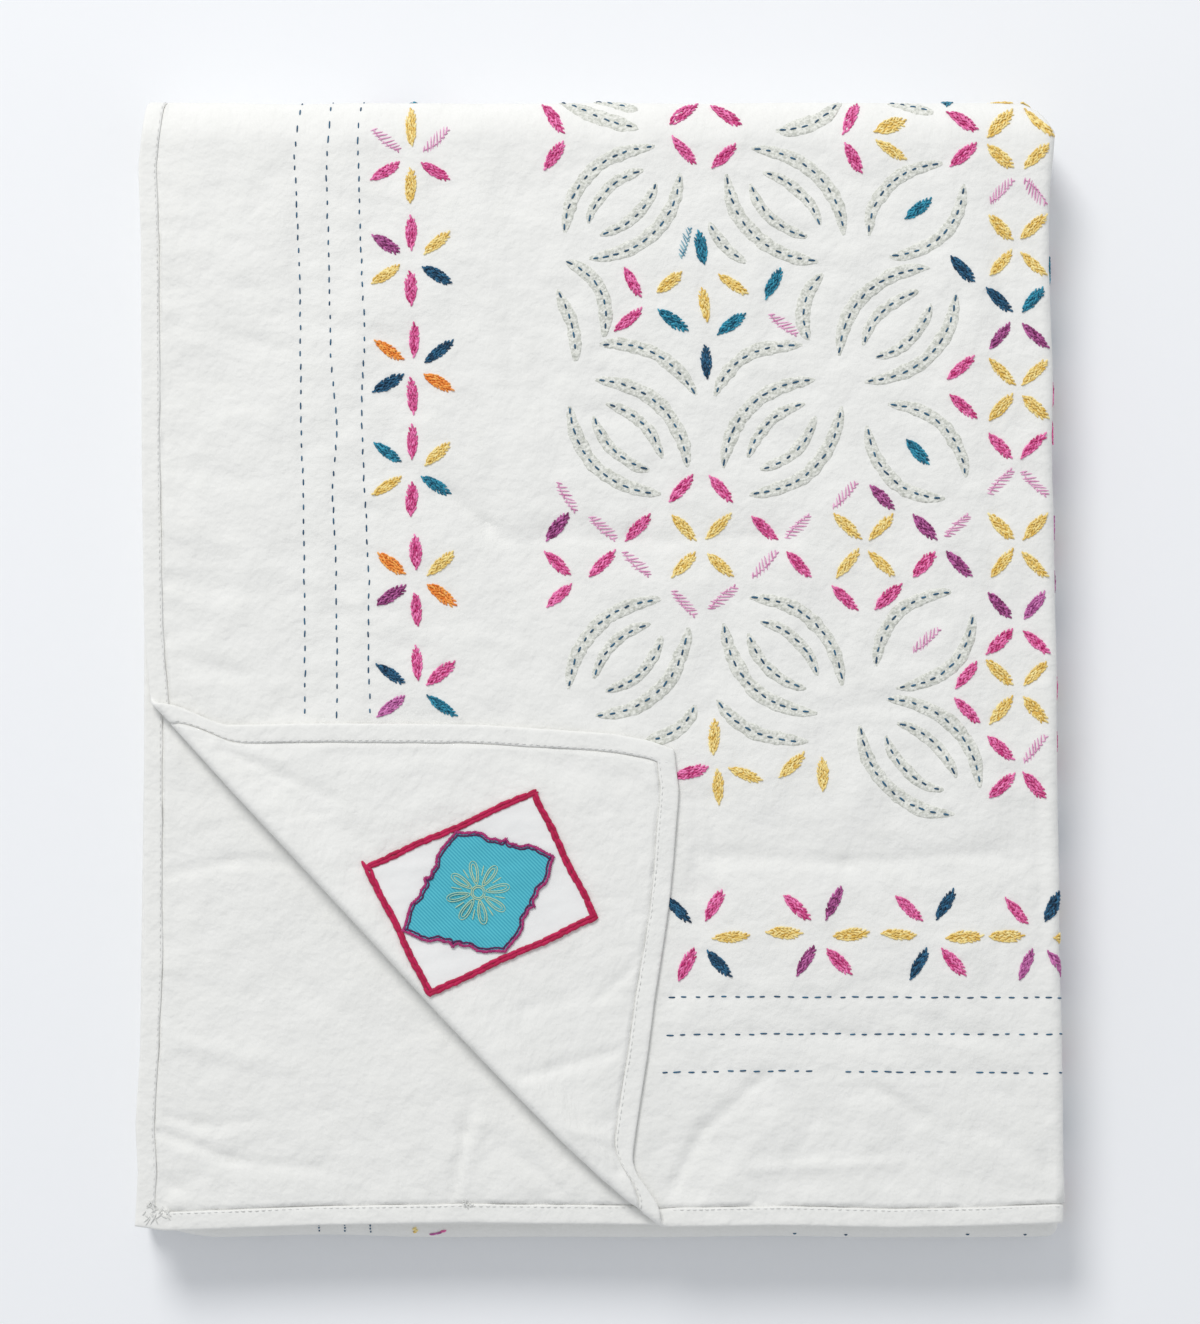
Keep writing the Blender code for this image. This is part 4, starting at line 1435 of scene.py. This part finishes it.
def make_hem_stitches(material):
    """Small stitches close to the inner side of the binding, where it shows."""
    chance = np.random.default_rng(29)
    inset = BINDING - AIR - 1.6
    front = []
    back = []

    def along(rows, start, end, fixed, upright, lean):
        at = start
        while at < end:
            u = fixed if upright else at
            v = at if upright else fixed
            du, dv = hem_shift(np.array(u), np.array(v))
            rows.append(stitch(u + float(du), v + float(dv), lean + chance.uniform(-6, 6), 2.6,
                               rise=0.16, sink=0.2))
            at += 4.2 * chance.uniform(0.9, 1.1)

    along(front, 312.0, 735.0, inset, True, 90.0)
    along(front, 330.0, 572.0, inset, False, 0.0)
    along(back, 6.0, 308.0, inset, True, 90.0)
    along(back, 12.0, 316.0, inset, False, 0.0)
    along(back, 8.0, 314.0, WIDTH - inset, True, 90.0)
    along(back, WIDTH - 318.0, WIDTH - 10.0, inset, False, 0.0)
    for number in range(22):
        lean = (45.0 if number % 2 else -45.0) + chance.uniform(-22.0, 22.0)
        back.append(stitch(WIDTH - chance.uniform(5.0, 21.0), chance.uniform(1.0, 13.0), lean,
                           chance.uniform(3.5, 7.5), rise=0.55, sink=0.1))
    for number in range(9):
        back.append(stitch(WIDTH - chance.uniform(202.0, 207.0), chance.uniform(10.5, 14.0),
                           chance.uniform(0.0, 180.0), chance.uniform(2.4, 4.6),
                           rise=0.75, sink=0.1))
    groups = [
        strand_lines(front, on_plain_face, 0.30),
        strand_lines(back, lambda u, v, h: place(u, v, -0.5 * CLOTH - h), 0.30),
    ]
    return add_threads("hem_stitches", groups, material, sides=5)


# The label.

def even_places(line, step):
    """Places along a line of points at even steps, with the heading there in degrees."""
    lengths = np.hypot(*np.diff(line, axis=0).T)
    total = np.concatenate([[0.0], np.cumsum(lengths)])
    at = np.arange(0.0, total[-1], step)
    x = np.interp(at, total, line[:, 0])
    y = np.interp(at, total, line[:, 1])
    ahead_x = np.interp(at + 0.8, total, line[:, 0]) - np.interp(at - 0.8, total, line[:, 0])
    ahead_y = np.interp(at + 0.8, total, line[:, 1]) - np.interp(at - 0.8, total, line[:, 1])
    return np.stack([x, y, np.degrees(np.arctan2(ahead_y, ahead_x))], axis=-1)


def lying_side(corners, side, number, parts):
    """Points along one side of a sewn-on piece, where it lies."""
    first = np.array(corners[number])
    way = np.array(corners[(number + 1) % 4]) - first
    outward_way = np.array([way[1], -way[0]]) / np.hypot(*way)
    t = np.linspace(0.0, 1.0, parts)[:, None]
    return first + way * t + outward_way * read_table(side, t)


def lying_outline(corners, side, inset):
    """The outline of a sewn-on piece, moved in from its edge."""
    line = np.concatenate([lying_side(corners, side, number, 61)[:-1] for number in range(4)])
    ahead = np.roll(line, -2, axis=0) - np.roll(line, 2, axis=0)
    ahead /= np.linalg.norm(ahead, axis=1, keepdims=True)
    line = line + inset * np.stack([-ahead[:, 1], ahead[:, 0]], axis=-1)
    return np.concatenate([line, line[:1]])


def edge_strands(outline, step, long, slant, height, chance):
    """Stitches along an outline, on the flat cloth."""
    strands = []
    for x, y, heading in even_places(outline, step):
        turn = math.radians(heading + slant + chance.uniform(-7.0, 7.0))
        reach = long * chance.uniform(0.9, 1.1)
        x += chance.uniform(-0.2, 0.2)
        y += chance.uniform(-0.2, 0.2)
        t = np.linspace(-0.5, 0.5, 5)
        u, v = flat_under(x + reach * t * math.cos(turn), y + reach * t * math.sin(turn))
        h = height - 0.35 * np.abs(2.0 * t) ** 3 + chance.uniform(-0.05, 0.05)
        strands.append(np.stack([u, v, h], axis=-1))
    return strands


def make_sewn_on(name, corners, side, near, thick, crown, material):
    """A four-sided piece of cloth sewn to the back of the turned corner."""
    parts = 56
    lines = [i / parts for i in range(parts + 1)]
    mesh = thickened(from_bmesh(name, grid_bmesh(lines, lines)), thick)
    points = points_of(mesh)
    s = np.clip(points[:, 0], 0.0, 1.0)
    t = np.clip(points[:, 1], 0.0, 1.0)
    rows = np.clip(np.round(s * parts).astype(int), 0, parts)
    columns = np.clip(np.round(t * parts).astype(int), 0, parts)
    low = lying_side(corners, side, 0, parts + 1)[rows]
    right = lying_side(corners, side, 1, parts + 1)[columns]
    high = lying_side(corners, side, 2, parts + 1)[::-1][rows]
    left = lying_side(corners, side, 3, parts + 1)[::-1][columns]
    corner = [np.array(c) for c in corners]
    inner = ease(np.minimum(np.minimum(s, 1.0 - s), np.minimum(t, 1.0 - t)) * 10.0)
    s = s[:, None]
    t = t[:, None]
    lying = ((1 - t) * low + t * high + (1 - s) * left + s * right
             - (1 - s) * (1 - t) * corner[0] - s * (1 - t) * corner[1]
             - s * t * corner[2] - (1 - s) * t * corner[3])
    u, v = flat_under(lying[:, 0], lying[:, 1])
    rise = inner * crown(lying[:, 0], lying[:, 1])
    depth = -0.5 * CLOTH - back_relief(u, v) - near - 0.5 * thick - rise - points[:, 2]
    set_points(mesh, to_world(place(u, v, depth)))
    flat_map(mesh, lying[:, 0], lying[:, 1])
    bm = to_bmesh(mesh)
    outward(bm)
    return add_piece(name, from_bmesh(name, bm), material)


def patch_crown(x, y):
    return 0.22 * ripple(x, y, 15.0, 30.0, 1.6, 52) + 0.10 * ripple(x, y, 6.0, 0.0, 1.4, 53)


def label_crown(x, y):
    fold = near_line(x, y, (176.0, 214.0, 216.0, 184.0, 6.0))
    return 0.16 * ripple(x, y, 13.0, 30.0, 1.6, 55) - 0.45 * fold


def make_label(materials):
    patch = make_sewn_on("label_cloth", PATCH_CORNERS, PATCH_SIDE, AIR, PATCH_THICK, patch_crown,
                         materials["patch"])
    near = AIR + PATCH_THICK + 0.25
    label = make_sewn_on("turquoise_label", LABEL_CORNERS, LABEL_SIDE, near, LABEL_THICK,
                         label_crown, materials["label"])
    chance = np.random.default_rng(37)
    height = AIR + PATCH_THICK + 0.55
    strands = edge_strands(lying_outline(PATCH_CORNERS, PATCH_SIDE, -0.2), 5.4, 7.4, 4.0,
                           height, chance)
    strands += edge_strands(lying_outline(PATCH_CORNERS, PATCH_SIDE, 1.7), 5.9, 8.2, -3.0,
                            height, chance)
    crimson = add_threads("label_border", [strand_lines(strands, on_back, 1.25)],
                          materials["crimson"], flatness=0.62)
    top = near + LABEL_THICK
    strands = edge_strands(lying_outline(LABEL_CORNERS, LABEL_SIDE, 0.3), 0.85, 2.7, 38.0,
                           top + 0.30, chance)
    pink = add_threads("label_overlock", [strand_lines(strands, on_back, 0.50)],
                       materials["pink_edge"])
    strands = edge_strands(lying_outline(LABEL_CORNERS, LABEL_SIDE, 2.1), 2.1, 3.0, 0.0,
                           top + 0.20, chance)
    dark = add_threads("label_inner_edge", [strand_lines(strands, on_back, 0.60)],
                       materials["plum_edge"])
    rosette = make_rosette(top + 0.2, materials["rosette"])
    return [patch, label, crimson, pink, dark, rosette]


def make_rosette(height, material):
    """A plain eight-petalled rosette in thin thread on the label."""
    centre = np.array([211.0, 203.5])
    turn = np.linspace(0.0, 2.0 * math.pi, 33)
    ring = np.stack([np.cos(turn), np.sin(turn)], axis=-1)
    lines = [centre + 3.2 * ring, centre + 4.3 * ring]
    for number in range(8):
        lean = math.radians(45.0 * number + 11.0)
        out = np.array([math.cos(lean), math.sin(lean)])
        side = np.array([-out[1], out[0]])
        for reach, wide in ((7.4, 3.3), (5.6, 1.7)):
            loop = (12.4 + reach * np.cos(turn))[:, None] * out
            loop = loop + (wide * np.sin(turn) * (0.75 + 0.25 * np.cos(turn)))[:, None] * side
            lines.append(centre + loop)
        far = math.radians(45.0 * number + 33.5)
        tip = np.array([math.cos(far), math.sin(far)])
        lines.append(centre + np.linspace(10.5, 17.0, 33)[:, None] * tip)
    strands = []
    for line in lines:
        u, v = flat_under(line[:, 0], line[:, 1])
        strands.append(np.stack([u, v, np.full(len(line), height)], axis=-1))
    return add_threads("label_rosette", [strand_lines(strands, on_back, 0.36)], material, sides=5)


# Materials.

def shader_of(name, roughness, sheen=0.0):
    material = bpy.data.materials.new(name)
    material.use_nodes = True
    shader = material.node_tree.nodes["Principled BSDF"]
    shader.inputs["Roughness"].default_value = roughness
    shader.inputs["Sheen Weight"].default_value = sheen
    shader.inputs["Sheen Roughness"].default_value = 0.5
    shader.inputs["Specular IOR Level"].default_value = 0.25
    return material, shader


def group_with(name, inputs, outputs):
    """An empty node group with named sockets."""
    group = bpy.data.node_groups.new(name, "ShaderNodeTree")
    for socket, kind in inputs:
        group.interface.new_socket(name=socket, in_out="INPUT", socket_type=kind)
    for socket, kind in outputs:
        group.interface.new_socket(name=socket, in_out="OUTPUT", socket_type=kind)
    start = group.nodes.new("NodeGroupInput")
    end = group.nodes.new("NodeGroupOutput")
    return group, start, end


def math_node(group, operation, first, second):
    node = group.nodes.new("ShaderNodeMath")
    node.operation = operation
    for socket, value in zip(node.inputs, (first, second)):
        if isinstance(value, bpy.types.NodeSocket):
            group.links.new(value, socket)
        elif value is not None:
            socket.default_value = value
    return node.outputs[0]


def noise_node(group, vector, scale, detail):
    node = group.nodes.new("ShaderNodeTexNoise")
    group.links.new(vector, node.inputs["Vector"])
    node.inputs["Scale"].default_value = scale
    node.inputs["Detail"].default_value = detail
    return node.outputs[0]


def woven_group():
    """Plain weave on the flat map, with slubs, soft crinkles and faint shade changes."""
    group, start, end = group_with(
        "plain_weave",
        (("Light", "NodeSocketColor"), ("Shade", "NodeSocketColor"),
         ("Threads per metre", "NodeSocketFloat"), ("Crinkle", "NodeSocketFloat")),
        (("Color", "NodeSocketColor"), ("Height", "NodeSocketFloat")),
    )
    place_node = group.nodes.new("ShaderNodeUVMap")
    place_node.uv_map = "flat"
    where = place_node.outputs[0]
    split = group.nodes.new("ShaderNodeSeparateXYZ")
    group.links.new(where, split.inputs[0])
    turns = math_node(group, "MULTIPLY", start.outputs["Threads per metre"], 2.0 * math.pi)
    warp = math_node(group, "SINE", math_node(group, "MULTIPLY", split.outputs[0], turns), None)
    weft = math_node(group, "SINE", math_node(group, "MULTIPLY", split.outputs[1], turns), None)
    weave = math_node(group, "MULTIPLY", warp, weft)
    slub = noise_node(group, where, 900.0, 2.0)
    crinkle = noise_node(group, where, 170.0, 4.0)
    soft = noise_node(group, where, 55.0, 3.0)
    fine = math_node(group, "ADD", math_node(group, "MULTIPLY", weave, 0.016),
                     math_node(group, "MULTIPLY", slub, 0.050))
    broad = math_node(group, "ADD", math_node(group, "MULTIPLY", crinkle, 0.75),
                      math_node(group, "MULTIPLY", soft, 1.30))
    broad = math_node(group, "MULTIPLY", broad, start.outputs["Crinkle"])
    group.links.new(math_node(group, "ADD", fine, broad), end.inputs["Height"])
    mix = group.nodes.new("ShaderNodeMix")
    mix.data_type = "RGBA"
    tone = math_node(group, "ADD", math_node(group, "MULTIPLY", soft, 0.9),
                     math_node(group, "MULTIPLY", slub, 0.5))
    tone = math_node(group, "SUBTRACT", tone, 0.25)
    group.links.new(tone, mix.inputs[0])
    group.links.new(start.outputs["Light"], mix.inputs[6])
    group.links.new(start.outputs["Shade"], mix.inputs[7])
    group.links.new(mix.outputs[2], end.inputs["Color"])
    return group


def woven_material(name, group, light, shade, threads, crinkle, distance):
    material, shader = shader_of(name, 0.92, 0.12)
    nodes = material.node_tree.nodes
    links = material.node_tree.links
    weave = nodes.new("ShaderNodeGroup")
    weave.node_tree = group
    weave.inputs["Light"].default_value = (*light, 1.0)
    weave.inputs["Shade"].default_value = (*shade, 1.0)
    weave.inputs["Threads per metre"].default_value = threads
    weave.inputs["Crinkle"].default_value = crinkle
    bump = nodes.new("ShaderNodeBump")
    bump.inputs["Strength"].default_value = 1.0
    bump.inputs["Distance"].default_value = distance
    links.new(weave.outputs["Color"], shader.inputs["Base Color"])
    links.new(weave.outputs["Height"], bump.inputs["Height"])
    links.new(bump.outputs["Normal"], shader.inputs["Normal"])
    return material


def thread_group():
    """Twisted thread: colour that varies along it, with fine fibres in the height."""
    group, start, end = group_with(
        "sewing_thread",
        (("Light", "NodeSocketColor"), ("Dark", "NodeSocketColor")),
        (("Color", "NodeSocketColor"), ("Height", "NodeSocketFloat")),
    )
    where = group.nodes.new("ShaderNodeTexCoord").outputs["Object"]
    shade = noise_node(group, where, 420.0, 3.0)
    fibre = noise_node(group, where, 2600.0, 2.0)
    # The tint attribute mixes the light and dark colours: random per thread, partly the thread's
    # own tone and partly painted light and shade; on the pads it sits near the dark colour as
    # painted shade.
    tint = group.nodes.new("ShaderNodeAttribute")
    tint.attribute_name = "tint"
    both = math_node(group, "ADD", math_node(group, "MULTIPLY", tint.outputs["Fac"], 0.75),
                     math_node(group, "MULTIPLY", math_node(group, "SUBTRACT", shade, 0.38), 1.4))
    mix = group.nodes.new("ShaderNodeMix")
    mix.data_type = "RGBA"
    group.links.new(both, mix.inputs[0])
    group.links.new(start.outputs["Light"], mix.inputs[6])
    group.links.new(start.outputs["Dark"], mix.inputs[7])
    group.links.new(mix.outputs[2], end.inputs["Color"])
    group.links.new(fibre, end.inputs["Height"])
    return group


def thread_material(name, group, light, dark):
    material, shader = shader_of(name, 0.62, 0.15)
    nodes = material.node_tree.nodes
    links = material.node_tree.links
    thread = nodes.new("ShaderNodeGroup")
    thread.node_tree = group
    thread.inputs["Light"].default_value = (*light, 1.0)
    thread.inputs["Dark"].default_value = (*dark, 1.0)
    bump = nodes.new("ShaderNodeBump")
    bump.inputs["Strength"].default_value = 0.6
    bump.inputs["Distance"].default_value = 0.00015
    links.new(thread.outputs["Color"], shader.inputs["Base Color"])
    links.new(thread.outputs["Height"], bump.inputs["Height"])
    links.new(bump.outputs["Normal"], shader.inputs["Normal"])
    return material


def crescent_material():
    """Loose cotton gauze: rough, slightly grey-green, with small dark openings."""
    material, shader = shader_of("crescent_gauze", 0.95, 0.1)
    nodes = material.node_tree.nodes
    links = material.node_tree.links
    where = nodes.new("ShaderNodeTexCoord").outputs["Object"]
    rough = nodes.new("ShaderNodeTexVoronoi")
    rough.inputs["Scale"].default_value = 620.0
    links.new(where, rough.inputs["Vector"])
    patchy = nodes.new("ShaderNodeTexNoise")
    patchy.inputs["Scale"].default_value = 520.0
    patchy.inputs["Detail"].default_value = 3.0
    links.new(where, patchy.inputs["Vector"])
    ramp = nodes.new("ShaderNodeMapRange")
    ramp.inputs["From Min"].default_value = 0.40
    ramp.inputs["From Max"].default_value = 0.64
    links.new(patchy.outputs[0], ramp.inputs["Value"])
    mix = nodes.new("ShaderNodeMix")
    mix.data_type = "RGBA"
    mix.inputs[6].default_value = (0.820, 0.822, 0.768, 1.0)
    mix.inputs[7].default_value = (0.560, 0.572, 0.515, 1.0)
    links.new(ramp.outputs[0], mix.inputs[0])
    links.new(mix.outputs[2], shader.inputs["Base Color"])
    bump = nodes.new("ShaderNodeBump")
    bump.inputs["Strength"].default_value = 0.8
    bump.inputs["Distance"].default_value = 0.0006
    links.new(rough.outputs["Distance"], bump.inputs["Height"])
    links.new(bump.outputs["Normal"], shader.inputs["Normal"])
    return material


def twill_material():
    """Turquoise label twill with fine diagonal ribs."""
    material, shader = shader_of("label_twill", 0.75, 0.1)
    nodes = material.node_tree.nodes
    links = material.node_tree.links
    flat = nodes.new("ShaderNodeUVMap")
    flat.uv_map = "flat"
    ribs = nodes.new("ShaderNodeTexWave")
    ribs.bands_direction = "DIAGONAL"
    ribs.inputs["Scale"].default_value = 260.0
    ribs.inputs["Distortion"].default_value = 0.6
    links.new(flat.outputs[0], ribs.inputs["Vector"])
    mix = nodes.new("ShaderNodeMix")
    mix.data_type = "RGBA"
    mix.inputs[6].default_value = (0.045, 0.360, 0.480, 1.0)
    mix.inputs[7].default_value = (0.105, 0.540, 0.640, 1.0)
    links.new(ribs.outputs["Fac"], mix.inputs[0])
    links.new(mix.outputs[2], shader.inputs["Base Color"])
    bump = nodes.new("ShaderNodeBump")
    bump.inputs["Strength"].default_value = 0.6
    bump.inputs["Distance"].default_value = 0.00012
    links.new(ribs.outputs["Fac"], bump.inputs["Height"])
    links.new(bump.outputs["Normal"], shader.inputs["Normal"])
    return material


def make_materials():
    weave = woven_group()
    thread = thread_group()
    made = {
        "cloth": woven_material("quilt_cotton", weave, (0.885, 0.880, 0.855),
                                (0.810, 0.808, 0.780), 1500.0, 1.0, 0.0012),
        "tape": woven_material("binding_cotton", weave, (0.885, 0.880, 0.855),
                               (0.810, 0.808, 0.780), 1500.0, 1.0, 0.0012),
        "patch": woven_material("patch_cotton", weave, (0.880, 0.880, 0.870),
                                (0.820, 0.820, 0.810), 1700.0, 0.6, 0.0007),
        "gauze": crescent_material(),
        "label": twill_material(),
        "stitch": thread_material("stitch_thread", thread, (0.040, 0.150, 0.260),
                                  (0.014, 0.058, 0.120)),
        "hem_thread": thread_material("hem_thread", thread, (0.84, 0.84, 0.82),
                                      (0.70, 0.70, 0.68)),
        "crimson": thread_material("crimson_thread", thread, (0.560, 0.010, 0.090),
                                   (0.400, 0.006, 0.055)),
        "pink_edge": thread_material("pink_edge_thread", thread, (0.520, 0.045, 0.200),
                                     (0.280, 0.020, 0.130)),
        "plum_edge": thread_material("plum_edge_thread", thread, (0.120, 0.016, 0.100),
                                     (0.070, 0.010, 0.070)),
        "rosette": thread_material("rosette_thread", thread, (0.560, 0.660, 0.400),
                                   (0.360, 0.600, 0.480)),
    }
    for name, (light, dark) in THREADS.items():
        made[name] = thread_material("thread_" + name, thread, light, dark)
    return made


# Floor, lights and camera.

def make_floor():
    mesh = bpy.data.meshes.new("floor")
    mesh.from_pydata([(-6, -6, 0), (6, -6, 0), (6, 6, 0), (-6, 6, 0)], [], [(0, 1, 2, 3)])
    floor = bpy.data.objects.new("floor", mesh)
    bpy.context.scene.collection.objects.link(floor)
    material = bpy.data.materials.new("pale_floor")
    material.use_nodes = True
    shader = material.node_tree.nodes["Principled BSDF"]
    shader.inputs["Base Color"].default_value = (0.90, 0.91, 0.93, 1.0)
    shader.inputs["Roughness"].default_value = 0.9
    shader.inputs["Specular IOR Level"].default_value = 0.1
    mesh.materials.append(material)
    return floor


def aimed(obj, target):
    direction = Vector(target) - obj.location
    obj.rotation_euler = direction.to_track_quat("-Z", "Y").to_euler()


def area_light(name, location, target, size, energy, colour):
    data = bpy.data.lights.new(name, "AREA")
    data.shape = "DISK"
    data.size = size
    data.energy = energy
    data.color = colour
    lamp = bpy.data.objects.new(name, data)
    lamp.location = location
    bpy.context.scene.collection.objects.link(lamp)
    aimed(lamp, target)


def make_lights():
    area_light("window", (-1.62, 3.90, 4.25), (0.0, 0.0, 0.0), 2.4, 196.0, (1.0, 0.99, 0.97))
    world = bpy.data.worlds.new("studio")
    world.use_nodes = True
    background = world.node_tree.nodes["Background"]
    background.inputs["Color"].default_value = (0.94, 0.965, 1.0, 1.0)
    background.inputs["Strength"].default_value = 0.60
    bpy.context.scene.world = world


def make_camera():
    bpy.context.scene.view_settings.view_transform = "Standard"
    target = Vector((0.0030, -0.0016, 0.0555))
    tilt = math.radians(5.5)
    data = bpy.data.cameras.new("camera")
    data.sensor_fit = "HORIZONTAL"
    data.sensor_width = 36.0
    data.lens = 96.0
    camera = bpy.data.objects.new("camera", data)
    camera.location = target + 2.0 * Vector((0.0, -math.sin(tilt), math.cos(tilt)))
    bpy.context.scene.collection.objects.link(camera)
    aimed(camera, target)
    bpy.context.scene.camera = camera


def main():
    materials = make_materials()
    quilt = make_quilt(materials["cloth"])
    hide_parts("quilt")
    binding = make_binding(materials["tape"])
    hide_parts("binding")
    label_pieces = make_label(materials)
    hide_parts("label_patch")
    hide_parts("label")
    sewn = make_petals(materials)
    sewn += make_crescents(materials["gauze"], materials)
    sewn.append(make_rows(materials))
    sewn.append(make_hem_stitches(materials["hem_thread"]))
    sewn += make_side_petals(materials)
    sewn += make_fold_bits(materials)
    make_floor()
    make_lights()
    make_camera()


main()
